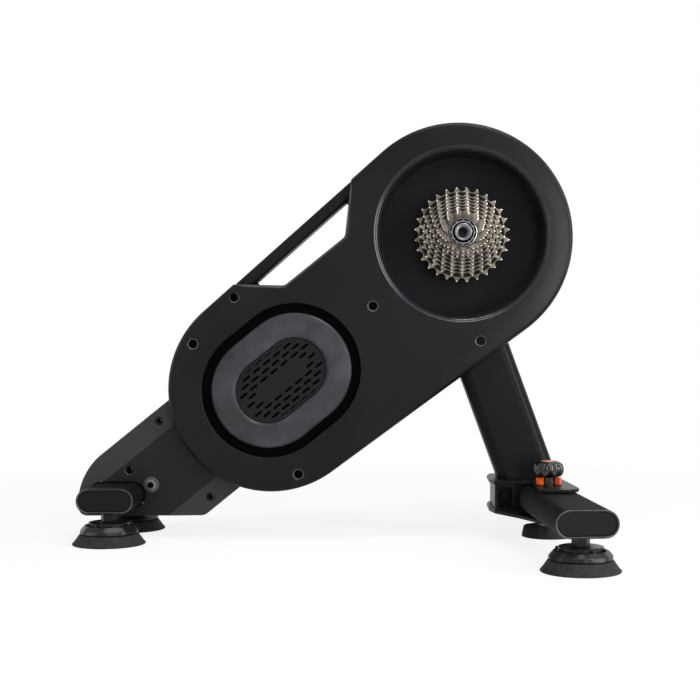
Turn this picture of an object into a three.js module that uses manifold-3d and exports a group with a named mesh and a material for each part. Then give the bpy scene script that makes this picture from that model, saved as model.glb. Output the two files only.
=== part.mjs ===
// Direct drive bike trainer: the bike's rear wheel comes off, its dropouts close on the axle,
// and its chain drives the cassette, a belt and a braked flywheel inside the housing.
// Millimetres. +X is the way the bike faces, the drive side is at -Y, +Z is up, the floor is Z = 0.
import * as THREE from 'three';
import { mergeVertices } from 'three/addons/utils/BufferGeometryUtils.js';
import Module from 'manifold-3d';

const wasm = await Module();
wasm.setup();

// Clearances that the whole trainer shares
const fit = 0.3;
const overrun = 3;

// Sides of the round pieces, by their size
const sides = { lobe: 12, huge: 40, large: 32, middle: 24, small: 16, tiny: 8 };
const turnShare = 2 * Math.PI;

// The axle and the long axis of the housing. s runs from the axle along the long axis, t across it.
const axleHeight = 372;
const flywheelHeight = 183.83;
const flywheelDistance = 299;
const tilt = Math.asin((axleHeight - flywheelHeight) / flywheelDistance);

// Housing: two round lobes joined by straight sides, split by the frame plate into two covers
const housing = {
  upperRadius: 139, lowerRadius: 125, upperShift: 6, nearFace: -40, farFace: 45,
  wall: 3, edgeRound: 5, edgeSteps: 2,
};
const well = { lipRadius: 110, throatRadius: 100.5, floorRadius: 95, lipDepth: 9, lipSteps: 3,
  floorFace: -5, wall: 2.7, hubHole: 40 };
const notch = { floor: 87, floorRear: 92, floorFront: -113, mouth: 128, mouthRear: 41,
  mouthFront: -70, corner: 9 };
const grip = { width: 15.5, depth: 30, edgeInset: 0.8, corner: 4, wall: 2.6, endGap: 0.8 };

// Frame plate between the covers, and the cast halves of the rear leg on both sides of it
const plate = { near: -2, far: 7, edgeInset: 1.2, rearInset: 2.5 };
const rearLeg = { halfWidth: 69, bandWidth: 28, bandDrop: 4, nearFace: -22, farFace: 27,
  behind: 237.6, bottom: 28, heelRound: 76, toeRound: 11, shinRound: 12, seam: 0.6, barSeam: 1.6 };
const legScrews = { behind: [138.6, 75.6, 174.6], z: [144, 51, 84], recess: 5.2, recessDepth: 6.5,
  shank: 2.4 };
const clampBolt = { behind: 147.6, z: 66, washer: 9.75, washerThick: 2, head: 7, headHigh: 6, socket: 3.4,
  socketDeep: 4, shank: 4, washerHole: 5 };

// Oval tube that makes both the rear bar and the front legs
const oval = { width: 67.3, height: 29.7, wall: 2.2, centreHeight: 53.5, plug: 10, plugRecess: 1.5 };
const rearBar = { behind: 190.1, halfLength: 90, footReach: 64 };

// Post from the housing down to the leg bracket
const post = { baseX: 77, width: 60, depth: 56, corner: 14, wall: 3, leanAngle: THREE.MathUtils.degToRad(20),
  topRise: 34, cornerSteps: 4 };
const postBolts = { across: [-16, 18], rise: [9, 15.5], shank: 3, head: 5.5, headHigh: 3.5 };

// Leg bracket: two plates on a core, which take the leg roots between them
const bracket = {
  plateThick: 4, tongueX: 33, tongueHalf: 24, blockX: 38, blockHalf: 50, earRearX: 81, earRearOuterX: 84,
  earHalf: 140, earFrontX: 133, centreFrontX: 121, earRound: 22, smallRound: 6,
  lowerShoulderX: 62, lowerShoulderHalf: 92,
  coreRear: 38.5, coreFront: 114, pocketFrom: 42.5, pocketTo: 59, pocketDeep: 14, webEnd: 63,
  sideDeep: 4, coreBandHalf: 46, coreFrontRound: 14, pocketLip: 3,
};
const bracketBolts = { x: 50.5, shank: 3, shankLong: 16 };

// Front legs, folding back about the clamp bolts
const leg = { pivotX: 99.5, pivotY: 86, splayAngle: THREE.MathUtils.degToRad(5.5), footReach: 167,
  beyondFoot: 33, solidReach: 44, play: 0.5 };
const pivotBolt = { radius: 5, head: 8.5, headHigh: 6, top: 95 };
const collar = { outer: 15, inner: 8.2, high: 8.8, mouthAngle: THREE.MathUtils.degToRad(100) };
const knob = { radius: 18.8, bottom: 83.2, top: 101.5, lobeCount: 6, lobeShare: 0.16, stepsPerLobe: 5,
  neck: 7.6, neckGap: 0.6, neckLap: 1.2, boltHole: 5.5, boltHoleTop: 97.5,
  profileShares: [[0.86, 0], [1, 0.12], [1, 0.76], [0.94, 0.92], [0.8, 1]] };

// Levelling feet: a rubber pad under a ribbed wheel on a threaded stud
const pad = { radius: 42.8, rim: 1.6, rimRadius: 43, top: 12.5, topRadius: 34.5, pin: 3, pinBottom: 4,
  pinHole: 3.4 };
const wheel = { bottomRadius: 34.5, waistRadius: 33, topRadius: 29, waist: 17.5, top: 22.5, lobeCount: 8,
  lobeShare: 0.04, stepsPerLobe: 4, disc: 24, discTop: 26.5, ribTop: 25, ribCount: 8, ribWide: 3, ribInner: 22 };
const stud = { radius: 4, play: 0.6, nutAcross: 17, nutTop: 35.5, top: 60 };
const centreFoot = { x: 108, radius: 33, topRadius: 30.5, high: 13, stem: 6, flange: 12, flangeHigh: 4,
  stemDeep: 5 };

// Axle set: a fixed hollow axle, a turning hub shaft and the freehub that carries the cassette
const axle = { stub: 4.75, bore: 2.7, body: 7.5, dropoutHalf: 67.5, stubLong: 5.5, bodyNear: -42, bodyFar: 31 };
const hub = { outer: 10, near: -42, far: 30, ratchet: 20.5, ratchetNear: -17, ratchetFar: -10.4, toothCount: 24,
  toothShare: 0.05 };
const freehub = { outer: 17.2, splineDeep: 1, splineCount: 9, near: -59, far: -17.6, flange: 20, flangeThick: 2,
  frontBore: 13, frontBoreDeep: 13 };
const cassette = { largestY: -20.8, pitch: 3.74, thick: 1.8, chainPitch: 12.7, tipRise: 2.1, rootDrop: 3.9,
  tipHalf: 1.1, spacerRadius: 21, smallSpacerRadius: 18.3 };
const lockring = { outer: 17.3, inner: 13.9, thick: 2.5, notchCount: 12, notchDeep: 1.2, notchHalf: 0.9 };
const endCap = { radius: 10.75, neck: 9.7, shoulder: -58, inner: -43 };
const farCap = { radius: 10.75, baseRadius: 15, coneEnd: 56, inner: 32 };
const boss = { radius: 24, near: -10, far: 10, bore: 16 };
const bearing = { outer: 15.7, wide: 7, nearY: -9.5, farY: 2 };

// Flywheel set and brake, on the drive side of the plate, and the belt drive on its far side
const flywheel = { radius: 100, rimInner: 66.8, near: -29, far: -7, webThick: 5, hubRadius: 16, shaft: 8.5,
  shaftNear: -29, shaftFar: 31 };
const stator = { outer: 65.6, ring: 38, inner: 24.5, near: -18, far: -6.5, poleCount: 8, poleHalf: 7,
  coilThick: 4, coilInner: 40, coilOuter: 62 };
const belt = { near: 12.5, far: 29.5, thick: 3 };
const drivePulley = { radius: 95, near: 12, far: 30, rim: 6, webNear: 18, webFar: 24, hubRadius: 20,
  holeCount: 6, holeRadius: 20, holeCircle: 55 };
const smallPulley = { radius: 17 };
const idler = { ahead: 94, radius: 14, pin: 4, near: 12.5, far: 29.5, armWidth: 18, armFar: 11, armLong: 34,
  pinFar: 33, head: 7 };

// Vented brake cover on the front
const vent = { ahead: 16.5, halfLength: 20.6, recess: 80.5, recessFloor: -34, floorThick: 2.5, opening: 50,
  ring: 69, ringEdge: 67, ringEdgeFace: -39.5, ringSideFace: -37.5, ringCrest: 42, ringCrestFace: -42,
  grille: 39, grilleFace: -38.8, grilleBack: -36, ledge: 35.5 };
const slots = { long: 9.4, wide: 2.1, pitch: 15.3, row: 7.7, rowCount: 4, columnCount: 5, margin: 6,
  bareHalfLong: 38, bareHalfWide: 9, endSides: 6 };

// Screws that hold the covers, in recessed bosses: place along and across the long axis
const coverScrews = {
  aroundFlywheel: [[35.2, 114], [-39, 101.5], [-39, -101.5]], aroundAxle: [[-139.5, 0], [-64.6, -115]],
  onPost: 4, recess: 5.2, rim: 7, rimDeep: 0.8, seatDeep: 26, postFloor: 4,
  shank: 2.2, pillar: 6.6,
};

const board = { gap: 7, t: 0, long: 96, wide: 40, near: -10, thick: 1.6, chipShares: [-0.3, 0.05, 0.33],
  chip: 14, chipHigh: 3, post: 2.5, postInset: 5 };
const inlet = { behind: 31, t: -60, outer: 7, inner: 3.2, pin: 1.1, deep: 12, pinDeep: 9, flange: 9,
  flangeThick: 1.5 };

// Materials
const paint = (color, roughness, metalness) => new THREE.MeshStandardMaterial({ color, roughness,
  metalness, flatShading: true });
const blackPlastic = paint(0x2b2b2e, 0.55, 0);
const darkPlastic = paint(0x1d1d20, 0.6, 0);
const greyPaint = paint(0x55565a, 0.5, 0.2);
const legPaint = paint(0x3a3a3d, 0.5, 0.2);
const rubber = paint(0x3b3532, 0.8, 0);
const steel = paint(0xb9b4ab, 0.3, 1);
const chrome = paint(0xd8d8da, 0.15, 1);
const aluminium = paint(0x9c9da0, 0.4, 0.9);
const iron = paint(0x606165, 0.5, 0.8);
const orange = paint(0xf06a14, 0.45, 0);
const copper = paint(0xb06a3c, 0.4, 0.8);
const greenBoard = paint(0x1f5a3c, 0.6, 0);

// Solids: closed meshes are joined and cut by the solid modeller, and come back as geometries
function toSolid(geometry) {
  const bare = geometry.clone();
  bare.deleteAttribute('normal');
  bare.deleteAttribute('uv');
  const merged = geometry.hasAttribute('uv') ? mergeVertices(bare, 1e-4) : bare;
  const corners = Array.from(merged.index.array);
  const places = merged.attributes.position;
  const faces = [];
  let volume = 0;
  const [a, b, c] = [new THREE.Vector3(), new THREE.Vector3(), new THREE.Vector3()];
  for (let i = 0; i < corners.length; i += 3) {
    const [p, q, r] = corners.slice(i, i + 3);
    if (p === q || q === r || p === r) continue;
    faces.push(p, q, r);
    a.fromBufferAttribute(places, p);
    b.fromBufferAttribute(places, q);
    c.fromBufferAttribute(places, r);
    volume += a.dot(b.cross(c));
  }
  if (volume < 0) faces.reverse();
  return new wasm.Manifold(new wasm.Mesh({
    numProp: 3, vertProperties: new Float32Array(places.array), triVerts: new Uint32Array(faces),
  }));
}

function toGeometry(solid) {
  const mesh = solid.getMesh();
  const geometry = new THREE.BufferGeometry();
  geometry.setAttribute('position', new THREE.BufferAttribute(new Float32Array(mesh.vertProperties), 3));
  geometry.setIndex(new THREE.BufferAttribute(new Uint32Array(mesh.triVerts), 1));
  return geometry;
}

const join = (...parts) => toGeometry(parts.map(toSolid).reduce((whole, part) => whole.add(part)));
const cut = (body, ...tools) => toGeometry(tools.map(toSolid).reduce((rest, tool) => rest.subtract(tool),
  toSolid(body)));
const common = (...parts) => toGeometry(parts.map(toSolid).reduce((rest, part) => rest.intersect(part)));

// Outlines: lists of [across, up] points, counter-clockwise
function arc(cx, cy, radius, from, to, steps) {
  const points = [];
  for (let i = 0; i <= steps; i += 1) {
    const angle = from + ((to - from) * i) / steps;
    points.push([cx + radius * Math.cos(angle), cy + radius * Math.sin(angle)]);
  }
  return points;
}

const circle = (cx, cy, radius, count) => arc(cx, cy, radius, 0, turnShare, count).slice(0, -1);

function stadium(cx, cy, half, radius, count) {
  const quarter = Math.PI / 2;
  return [
    ...arc(cx + half, cy, radius, -quarter, quarter, count / 2),
    ...arc(cx - half, cy, radius, quarter, 3 * quarter, count / 2),
  ];
}

// Polygon whose corners [x, y, radius] are rounded
function rounded(corners, steps = 5) {
  const points = [];
  corners.forEach(([x, y, radius], i) => {
    const before = corners[(i + corners.length - 1) % corners.length];
    const after = corners[(i + 1) % corners.length];
    if (!radius) {
      points.push([x, y]);
      return;
    }
    const back = new THREE.Vector2(before[0] - x, before[1] - y).normalize();
    const ahead = new THREE.Vector2(after[0] - x, after[1] - y).normalize();
    const half = Math.acos(THREE.MathUtils.clamp(back.dot(ahead), -1, 1)) / 2;
    const middle = back.clone().add(ahead).normalize();
    const centre = [x + (middle.x * radius) / Math.sin(half), y + (middle.y * radius) / Math.sin(half)];
    const reach = radius / Math.tan(half);
    const start = Math.atan2(y + back.y * reach - centre[1], x + back.x * reach - centre[0]);
    let sweep = Math.atan2(y + ahead.y * reach - centre[1], x + ahead.x * reach - centre[0]) - start;
    if (sweep > Math.PI) sweep -= turnShare;
    if (sweep < -Math.PI) sweep += turnShare;
    points.push(...arc(centre[0], centre[1], radius, start, start + sweep, steps));
  });
  return points;
}

// Outline round two circles on one horizontal line: [centre, radius] on the left and on the right
function hull([leftX, leftRadius], [rightX, rightRadius], count) {
  const slope = Math.asin((rightRadius - leftRadius) / (rightX - leftX));
  const quarter = Math.PI / 2;
  return [
    ...arc(rightX, 0, rightRadius, -quarter - slope, quarter + slope, count),
    ...arc(leftX, 0, leftRadius, quarter + slope, 3 * quarter - slope, count),
  ];
}

// The housing's outline, drawn in by an inset
const lobes = (inset, count = sides.lobe) => hull([-flywheelDistance, housing.lowerRadius - inset],
  [-housing.upperShift, housing.upperRadius - inset], count);

// From places along and across the long axis to the side view
const cosTilt = Math.cos(tilt);
const sinTilt = Math.sin(tilt);
const sideView = ([s, t]) => [s * cosTilt - t * sinTilt, axleHeight + s * sinTilt + t * cosTilt];
const tilted = (points) => points.map(sideView);

function toShape(outline, holes = []) {
  const shape = new THREE.Shape(outline.map(([x, y]) => new THREE.Vector2(x, y)));
  shape.holes = holes.map((hole) => new THREE.Path(hole.map(([x, y]) => new THREE.Vector2(x, y))));
  return shape;
}

const extrude = (outline, depth, holes) => new THREE.ExtrudeGeometry(toShape(outline, holes),
  { depth, bevelEnabled: false, steps: 1, curveSegments: 1 });

// Side-view outline carried along Y, plan-view outline carried along Z, end-view outline carried along X
const prism = (outline, near, far, holes) => extrude(outline, far - near, holes).rotateX(Math.PI / 2)
  .translate(0, far, 0);
const slab = (outline, bottom, top, holes) => extrude(outline, top - bottom, holes).translate(0, 0, bottom);
const endView = new THREE.Matrix4().makeBasis(new THREE.Vector3(0, 1, 0), new THREE.Vector3(0, 0, 1),
  new THREE.Vector3(1, 0, 0));
const beam = (outline, from, to, holes) => extrude(outline, to - from, holes).applyMatrix4(endView)
  .translate(from, 0, 0);

// Profiles of [radius, height] turned about Y or Z through a place
const turnY = (profile, count, x, z) => new THREE.LatheGeometry(profile.map(([r, y]) => new THREE.Vector2(r, y)),
  count).translate(x, 0, z);
const turnZ = (profile, count, x, y) => new THREE.LatheGeometry(profile.map(([r, z]) => new THREE.Vector2(r, z)),
  count).rotateX(Math.PI / 2).translate(x, y, 0);
const rod = (radius, from, to) => [[0, from], [radius, from], [radius, to], [0, to]];
const ring = (inner, outer, from, to) => [[inner, from], [outer, from], [outer, to], [inner, to], [inner, from]];

// Solid through rings with the same number of points, closed by a fan at each end
function loft(rings) {
  const count = rings[0].length;
  const places = rings.flat(2);
  const faces = [];
  const middle = (points) => [0, 1, 2].map((k) => points.reduce((sum, point) => sum + point[k], 0) / count);
  for (let j = 0; j + 1 < rings.length; j += 1) {
    for (let i = 0; i < count; i += 1) {
      const next = (i + 1) % count;
      const [a, b, c, d] = [j * count + i, j * count + next, (j + 1) * count + i, (j + 1) * count + next];
      faces.push(a, b, d, a, d, c);
    }
  }
  const first = rings.length * count;
  places.push(...middle(rings[0]), ...middle(rings[rings.length - 1]));
  for (let i = 0; i < count; i += 1) {
    const next = (i + 1) % count;
    const last = (rings.length - 1) * count;
    faces.push(first, next, i, first + 1, last + i, last + next);
  }
  const geometry = new THREE.BufferGeometry();
  geometry.setAttribute('position', new THREE.BufferAttribute(new Float32Array(places), 3));
  geometry.setIndex(faces);
  return geometry;
}

// Side-view outlines at given depths, and plan-view outlines at given heights, lofted
const loftY = (layers) => loft(layers.map(([outline, y]) => outline.map(([x, z]) => [x, y, z])));
const loftZ = (layers) => loft(layers.map(([outline, z]) => outline.map(([x, y]) => [x, y, z])));

// Round outline whose radius swells into lobes
function lobed(cx, cy, radius, count, share, stepsPerLobe) {
  const total = count * stepsPerLobe;
  return Array.from({ length: total }, (_, i) => {
    const angle = (turnShare * i) / total;
    const reach = radius * (1 - share * (0.5 - 0.5 * Math.cos(count * angle)));
    return [cx + reach * Math.cos(angle), cy + reach * Math.sin(angle)];
  });
}

const trainer = new THREE.Group();
const addTo = (parent, name, geometry, material) => {
  const mesh = new THREE.Mesh(geometry, material);
  mesh.name = name;
  parent.add(mesh);
  return mesh;
};
const add = (name, geometry, material) => addTo(trainer, name, geometry, material);

const sidesOfTrainer = [['near', -1], ['far', 1]];
const [flywheelX, flywheelZ] = sideView([-flywheelDistance, 0]);
const atAxle = (profile, count) => turnY(profile, count, 0, axleHeight);
const atFlywheel = (profile, count) => turnY(profile, count, flywheelX, flywheelZ);
const acrossAt = (profile, count, s, t) => turnY(profile, count, ...sideView([s, t]));

// Places that keep with the flywheel
const rearEnd = flywheelX - rearLeg.behind;
const rearBarX = flywheelX - rearBar.behind;
const clampBoltX = flywheelX - clampBolt.behind;
const legScrewPlaces = legScrews.behind.map((behind, i) => [flywheelX - behind, legScrews.z[i]]);
const ventCentre = vent.ahead - flywheelDistance;
const notchRear = notch.floorRear - flywheelDistance;
const idlerS = idler.ahead - flywheelDistance;
const inletS = -flywheelDistance - inlet.behind;
const boardS = flywheel.radius + board.gap + board.wide / 2 - flywheelDistance;
const coverScrewPlaces = [
  ...coverScrews.aroundFlywheel.map(([s, t]) => [s - flywheelDistance, t]),
  ...coverScrews.aroundAxle,
];

// Heights of the bracket's plates, set by the legs between them
const legTop = oval.centreHeight + oval.height / 2;
const legBottom = oval.centreHeight - oval.height / 2;
const upperPlateBottom = legTop + leg.play;
const upperPlateTop = upperPlateBottom + bracket.plateThick;
const lowerPlateTop = legBottom - leg.play;
const lowerPlateBottom = lowerPlateTop - bracket.plateThick;

// Post: its centre line runs up and back from the bracket, and into the housing's lower side
const lowerSide = { radius: housing.lowerRadius, slope: (housing.upperRadius - housing.lowerRadius)
  / (flywheelDistance - housing.upperShift) };
function postEntry() {
  const [rightX, rightZ] = [-Math.sin(post.leanAngle), Math.cos(post.leanAngle)];
  const s = post.baseX * cosTilt + (upperPlateTop - axleHeight) * sinTilt;
  const t = -post.baseX * sinTilt + (upperPlateTop - axleHeight) * cosTilt;
  const alongS = rightX * cosTilt + rightZ * sinTilt;
  const alongT = -rightX * sinTilt + rightZ * cosTilt;
  const edge = -(lowerSide.radius + (s + flywheelDistance) * lowerSide.slope);
  return (edge - t) / (alongT + alongS * lowerSide.slope);
}
const postLong = postEntry() + post.topRise;
const postTurned = (geometry) => geometry.rotateY(-post.leanAngle).translate(post.baseX, 0, upperPlateTop);
function postOutline(grow) {
  const [w, d, r] = [post.width / 2 + grow, post.depth / 2 + grow, post.corner + grow];
  return rounded([[-w, -d, r], [w, -d, r], [w, d, r], [-w, d, r]], post.cornerSteps);
}
const postBar = (grow, from, to) => postTurned(slab(postOutline(grow), from, to));
const onPost = (across, rise) => [
  post.baseX - Math.sin(post.leanAngle) * rise + Math.cos(post.leanAngle) * across,
  upperPlateTop + Math.cos(post.leanAngle) * rise + Math.sin(post.leanAngle) * across,
];

// Notch in the housing's upper side, under the carry handle
function notchOutline(grow) {
  const beyond = (housing.upperRadius - notch.floor) / (notch.mouth - notch.floor);
  const front = notch.floorFront + (notch.mouthFront - notch.floorFront) * beyond;
  const rear = notchRear + (notch.mouthRear - notch.floorRear) * beyond;
  return rounded([
    [notchRear - grow, notch.floor - grow, notch.corner],
    [notch.floorFront + grow, notch.floor - grow, notch.corner],
    [front + grow, housing.upperRadius, 0],
    [rear - grow, housing.upperRadius, 0],
  ]);
}
const notchBlock = (grow, near, far) => prism(tilted(notchOutline(grow)), near, far);

// The covers' screws sit in recessed bosses: four reach the plate, the last one reaches the post
function coverScrewPlan(face, seam) {
  const inward = Math.sign(seam - face);
  const postEnd = -inward * (post.depth / 2 + fit);
  return coverScrewPlaces.map(([s, t], i) => {
    const end = i === coverScrews.onPost ? postEnd : seam;
    const seat = i === coverScrews.onPost ? postEnd - inward * coverScrews.postFloor
      : face + inward * coverScrews.seatDeep;
    return { s, t, face, inward, end, seat };
  });
}
const screwPillar = ({ s, t, face, inward, end }) => acrossAt(
  rod(coverScrews.pillar, face + inward * housing.wall / 2, end), sides.tiny, s, t);
const screwWay = ({ s, t, face, inward, end, seat }) => acrossAt([
  [0, face - inward * overrun],
  [coverScrews.rim, face - inward * overrun],
  [coverScrews.rim, face],
  [coverScrews.recess, face + inward * coverScrews.rimDeep],
  [coverScrews.recess, seat],
  [coverScrews.shank + fit, seat],
  [coverScrews.shank + fit, end + inward * overrun],
  [0, end + inward * overrun],
], sides.tiny, s, t);

// A cover: a shell with a rounded edge, cut for the notch, the post and its screws
function coverShell(face, seam, kept, removed) {
  const inward = Math.sign(seam - face);
  const layers = [];
  for (let i = 0; i <= housing.edgeSteps; i += 1) {
    const turn = (i / housing.edgeSteps) * (Math.PI / 2);
    const inset = housing.edgeRound * (1 - Math.sin(turn));
    layers.push([tilted(lobes(inset)), face + inward * housing.edgeRound * (1 - Math.cos(turn))]);
  }
  layers.push([tilted(lobes(0)), seam]);
  const room = [face + inward * housing.wall, seam + inward * overrun].sort((a, b) => a - b);
  const reach = [face - inward * overrun, seam + inward * overrun].sort((a, b) => a - b);
  const plan = coverScrewPlan(face, seam);
  const cavity = cut(prism(tilted(lobes(housing.wall)), ...room), notchBlock(housing.wall, ...reach),
    ...plan.map(screwPillar), ...kept);
  return cut(loftY(layers), cavity, notchBlock(0, ...reach), ...plan.map(screwWay),
    postBar(fit, -post.width, postLong + fit), ...removed);
}

const ventOutline = (radius, count = sides.middle) => tilted(stadium(ventCentre, 0, vent.halfLength, radius, count));

function frontCover() {
  const seam = plate.near - fit;
  const cup = atAxle(rod(well.throatRadius + well.wall, housing.nearFace, seam), sides.huge);
  const rim = atAxle(rod(well.lipRadius + well.wall, housing.nearFace, housing.nearFace + well.lipDepth),
    sides.huge);
  const floor = prism(ventOutline(vent.recess + housing.wall), housing.nearFace,
    vent.recessFloor + vent.floorThick);
  const lip = [];
  for (let i = 0; i <= well.lipSteps; i += 1) {
    const turn = (i / well.lipSteps) * (Math.PI / 2);
    lip.push([well.throatRadius + (well.lipRadius - well.throatRadius) * (1 - Math.sin(turn)),
      housing.nearFace + well.lipDepth * (1 - Math.cos(turn))]);
  }
  const bowl = atAxle([
    [0, housing.nearFace - overrun],
    [well.lipRadius, housing.nearFace - overrun],
    ...lip,
    [well.floorRadius, well.floorFace],
    [well.hubHole, well.floorFace],
    [well.hubHole, seam + overrun],
    [0, seam + overrun],
  ], sides.huge);
  const recess = prism(ventOutline(vent.recess), housing.nearFace - overrun, vent.recessFloor);
  const opening = prism(ventOutline(vent.opening), housing.nearFace, seam);
  return coverShell(housing.nearFace, seam, [cup, rim, floor], [bowl, recess, opening]);
}

function backCover() {
  const seam = plate.far + fit;
  const axleHole = atAxle(rod(farCap.baseRadius + fit, seam, housing.farFace + overrun), sides.middle);
  const inletHole = acrossAt(rod(inlet.outer + fit, seam, housing.farFace + overrun), sides.small,
    inletS, inlet.t);
  return coverShell(housing.farFace, seam, [], [axleHole, inletHole]);
}

add('front_cover', frontCover(), blackPlastic);
add('back_cover', backCover(), blackPlastic);
// Raised ring and slotted grille over the brake
function ventRing() {
  const body = loftY([
    [ventOutline(vent.ring), vent.recessFloor - fit],
    [ventOutline(vent.ring), vent.ringSideFace],
    [ventOutline(vent.ringEdge), vent.ringEdgeFace],
    [ventOutline(vent.ringCrest), vent.ringCrestFace],
  ]);
  const window = loftY([
    [ventOutline(vent.grille + fit), vent.grilleBack],
    [ventOutline(vent.grille + fit), vent.grilleFace],
    [ventOutline(vent.ringCrest), vent.ringCrestFace],
    [ventOutline(vent.ringCrest), vent.ringCrestFace - overrun],
  ]);
  const through = prism(ventOutline(vent.ledge), vent.ringCrestFace, vent.recessFloor);
  return cut(body, window, through);
}
add('brake_cover_ring', ventRing(), greyPaint);

// Slots in staggered rows along the long axis, with a bare band in the middle
function slotPlaces() {
  const places = [];
  const reach = vent.grille - slots.margin;
  for (let row = -slots.rowCount; row <= slots.rowCount; row += 1) {
    for (let column = -slots.columnCount; column <= slots.columnCount; column += 1) {
      const s = (column + (row % 2 === 0 ? 0 : 1 / 2)) * slots.pitch;
      const t = row * slots.row;
      const tip = Math.abs(s) + slots.long / 2;
      const fits = Math.hypot(Math.max(tip - vent.halfLength, 0), t) < reach;
      const bare = Math.abs(s) < slots.bareHalfLong && Math.abs(t) < slots.bareHalfWide;
      if (fits && !bare) places.push([ventCentre + s, t]);
    }
  }
  return places;
}
const slotOutline = ([s, t]) => stadium(s, t, (slots.long - slots.wide) / 2, slots.wide / 2, slots.endSides);
function grille() {
  const holes = slotPlaces().map((place) => tilted(slotOutline(place)));
  return prism(ventOutline(vent.grille), vent.grilleFace, vent.grilleBack - fit, holes);
}
add('brake_grille', grille(), darkPlastic);

// Frame plate: carries the axle set, the flywheel, the post and the rear leg, and is the handle's core
function rearLegOutline(inset) {
  const half = rearLeg.halfWidth - inset;
  const [back, bottom] = [rearEnd + inset, rearLeg.bottom + inset];
  const front = -flywheelDistance;
  const heelS = (back + half * sinTilt) / cosTilt;
  const shinS = (bottom - axleHeight + half * cosTilt) / sinTilt;
  return rounded([
    [...sideView([front, half]), 0],
    [...sideView([heelS, half]), rearLeg.heelRound],
    [back, bottom, rearLeg.toeRound],
    [...sideView([shinS, -half]), rearLeg.shinRound],
    [...sideView([front, -half]), 0],
  ]);
}
const ovalOutline = (x, z, grow, count = sides.small) => stadium(x, z, (oval.width - oval.height) / 2,
  oval.height / 2 + grow, count);
const throughPlate = (radius, x, z, count = sides.small) => turnY(
  rod(radius, plate.near - overrun, plate.far + overrun), count, x, z);
const postBoltPlaces = postBolts.across.map((across, i) => onPost(across,
  postLong - post.topRise + postBolts.rise[i]));

// The handle's line follows the housing's upper side
const handleTilt = Math.asin(lowerSide.slope);
const handleBlock = (from, to, near, far) => prism([
  [-flywheelDistance, from], [-housing.upperShift, from], [-housing.upperShift, to], [-flywheelDistance, to],
], near, far);
const onHandle = (geometry) => geometry.translate(flywheelDistance, 0, 0).rotateY(-handleTilt)
  .translate(-flywheelDistance, 0, 0).rotateY(-tilt).translate(0, 0, axleHeight);
const gripTop = housing.lowerRadius - grip.edgeInset;
const gripMiddle = (plate.near + plate.far) / 2;

function framePlate() {
  const body = join(
    prism(tilted(lobes(plate.edgeInset)), plate.near, plate.far),
    prism(rearLegOutline(plate.rearInset), plate.near, plate.far),
  );
  const belowBar = onHandle(handleBlock(0, gripTop - grip.width + grip.wall + fit,
    plate.near - overrun, plate.far + overrun));
  const aboveBar = onHandle(handleBlock(gripTop - grip.wall - fit, housing.upperRadius + housing.lowerRadius,
    plate.near - overrun, plate.far + overrun));
  const opening = notchBlock(fit, plate.near - overrun, plate.far + overrun);
  const pierced = cut(
    body,
    common(opening, belowBar),
    common(opening, aboveBar),
    prism(ovalOutline(rearBarX, oval.centreHeight, fit), plate.near - overrun, plate.far + overrun),
    ...legScrewPlaces.map(([x, z]) => throughPlate(legScrews.shank + fit, x, z)),
    throughPlate(clampBolt.shank + fit, clampBoltX, clampBolt.z),
    ...postBoltPlaces.map(([x, z]) => throughPlate(postBolts.shank + fit, x, z)),
    ...coverScrewPlaces.map((place) => throughPlate(coverScrews.shank + fit, ...sideView(place))),
    throughPlate(idler.pin + fit, ...sideView([idlerS, idlerT])),
    throughPlate(idler.pin + fit, ...sideView([idlerS - idler.armLong, idlerT])),
  );
  const bosses = [atAxle(rod(boss.radius, boss.near, boss.far), sides.middle),
    atFlywheel(rod(boss.radius - fit, boss.near, boss.far), sides.middle)];
  const bores = [atAxle(rod(boss.bore, boss.near - overrun, boss.far + overrun), sides.middle),
    atFlywheel(rod(boss.bore, boss.near - overrun, boss.far + overrun), sides.middle)];
  return cut(join(pierced, ...bosses), ...bores);
}

// The idler lies below the belt's lower run
const beltRun = { from: smallPulley.radius + fit + belt.thick, to: drivePulley.radius + fit + belt.thick };
const beltSlope = Math.asin((beltRun.to - beltRun.from) / flywheelDistance);
const idlerT = -((beltRun.from + fit + idler.radius) / Math.cos(beltSlope)
  + (idlerS + flywheelDistance) * Math.tan(beltSlope));
add('frame_plate', framePlate(), aluminium);

function carryGrip() {
  const [w, d] = [grip.width / 2, grip.depth / 2];
  const across = rounded([[gripMiddle - d, gripTop - 2 * w, grip.corner], [gripMiddle + d, gripTop - 2 * w,
    grip.corner], [gripMiddle + d, gripTop, grip.corner], [gripMiddle - d, gripTop, grip.corner]], 3);
  const core = [[plate.near - fit, gripTop - grip.width + grip.wall],
    [plate.near - fit, gripTop - grip.wall],
    [plate.far + fit, gripTop - grip.wall], [plate.far + fit, gripTop - grip.width + grip.wall]];
  const sleeve = onHandle(beam(across, -flywheelDistance, -housing.upperShift, [core]));
  return common(sleeve, notchBlock(-grip.endGap, housing.nearFace, housing.farFace));
}
add('carry_handle', carryGrip(), legPaint);

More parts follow.
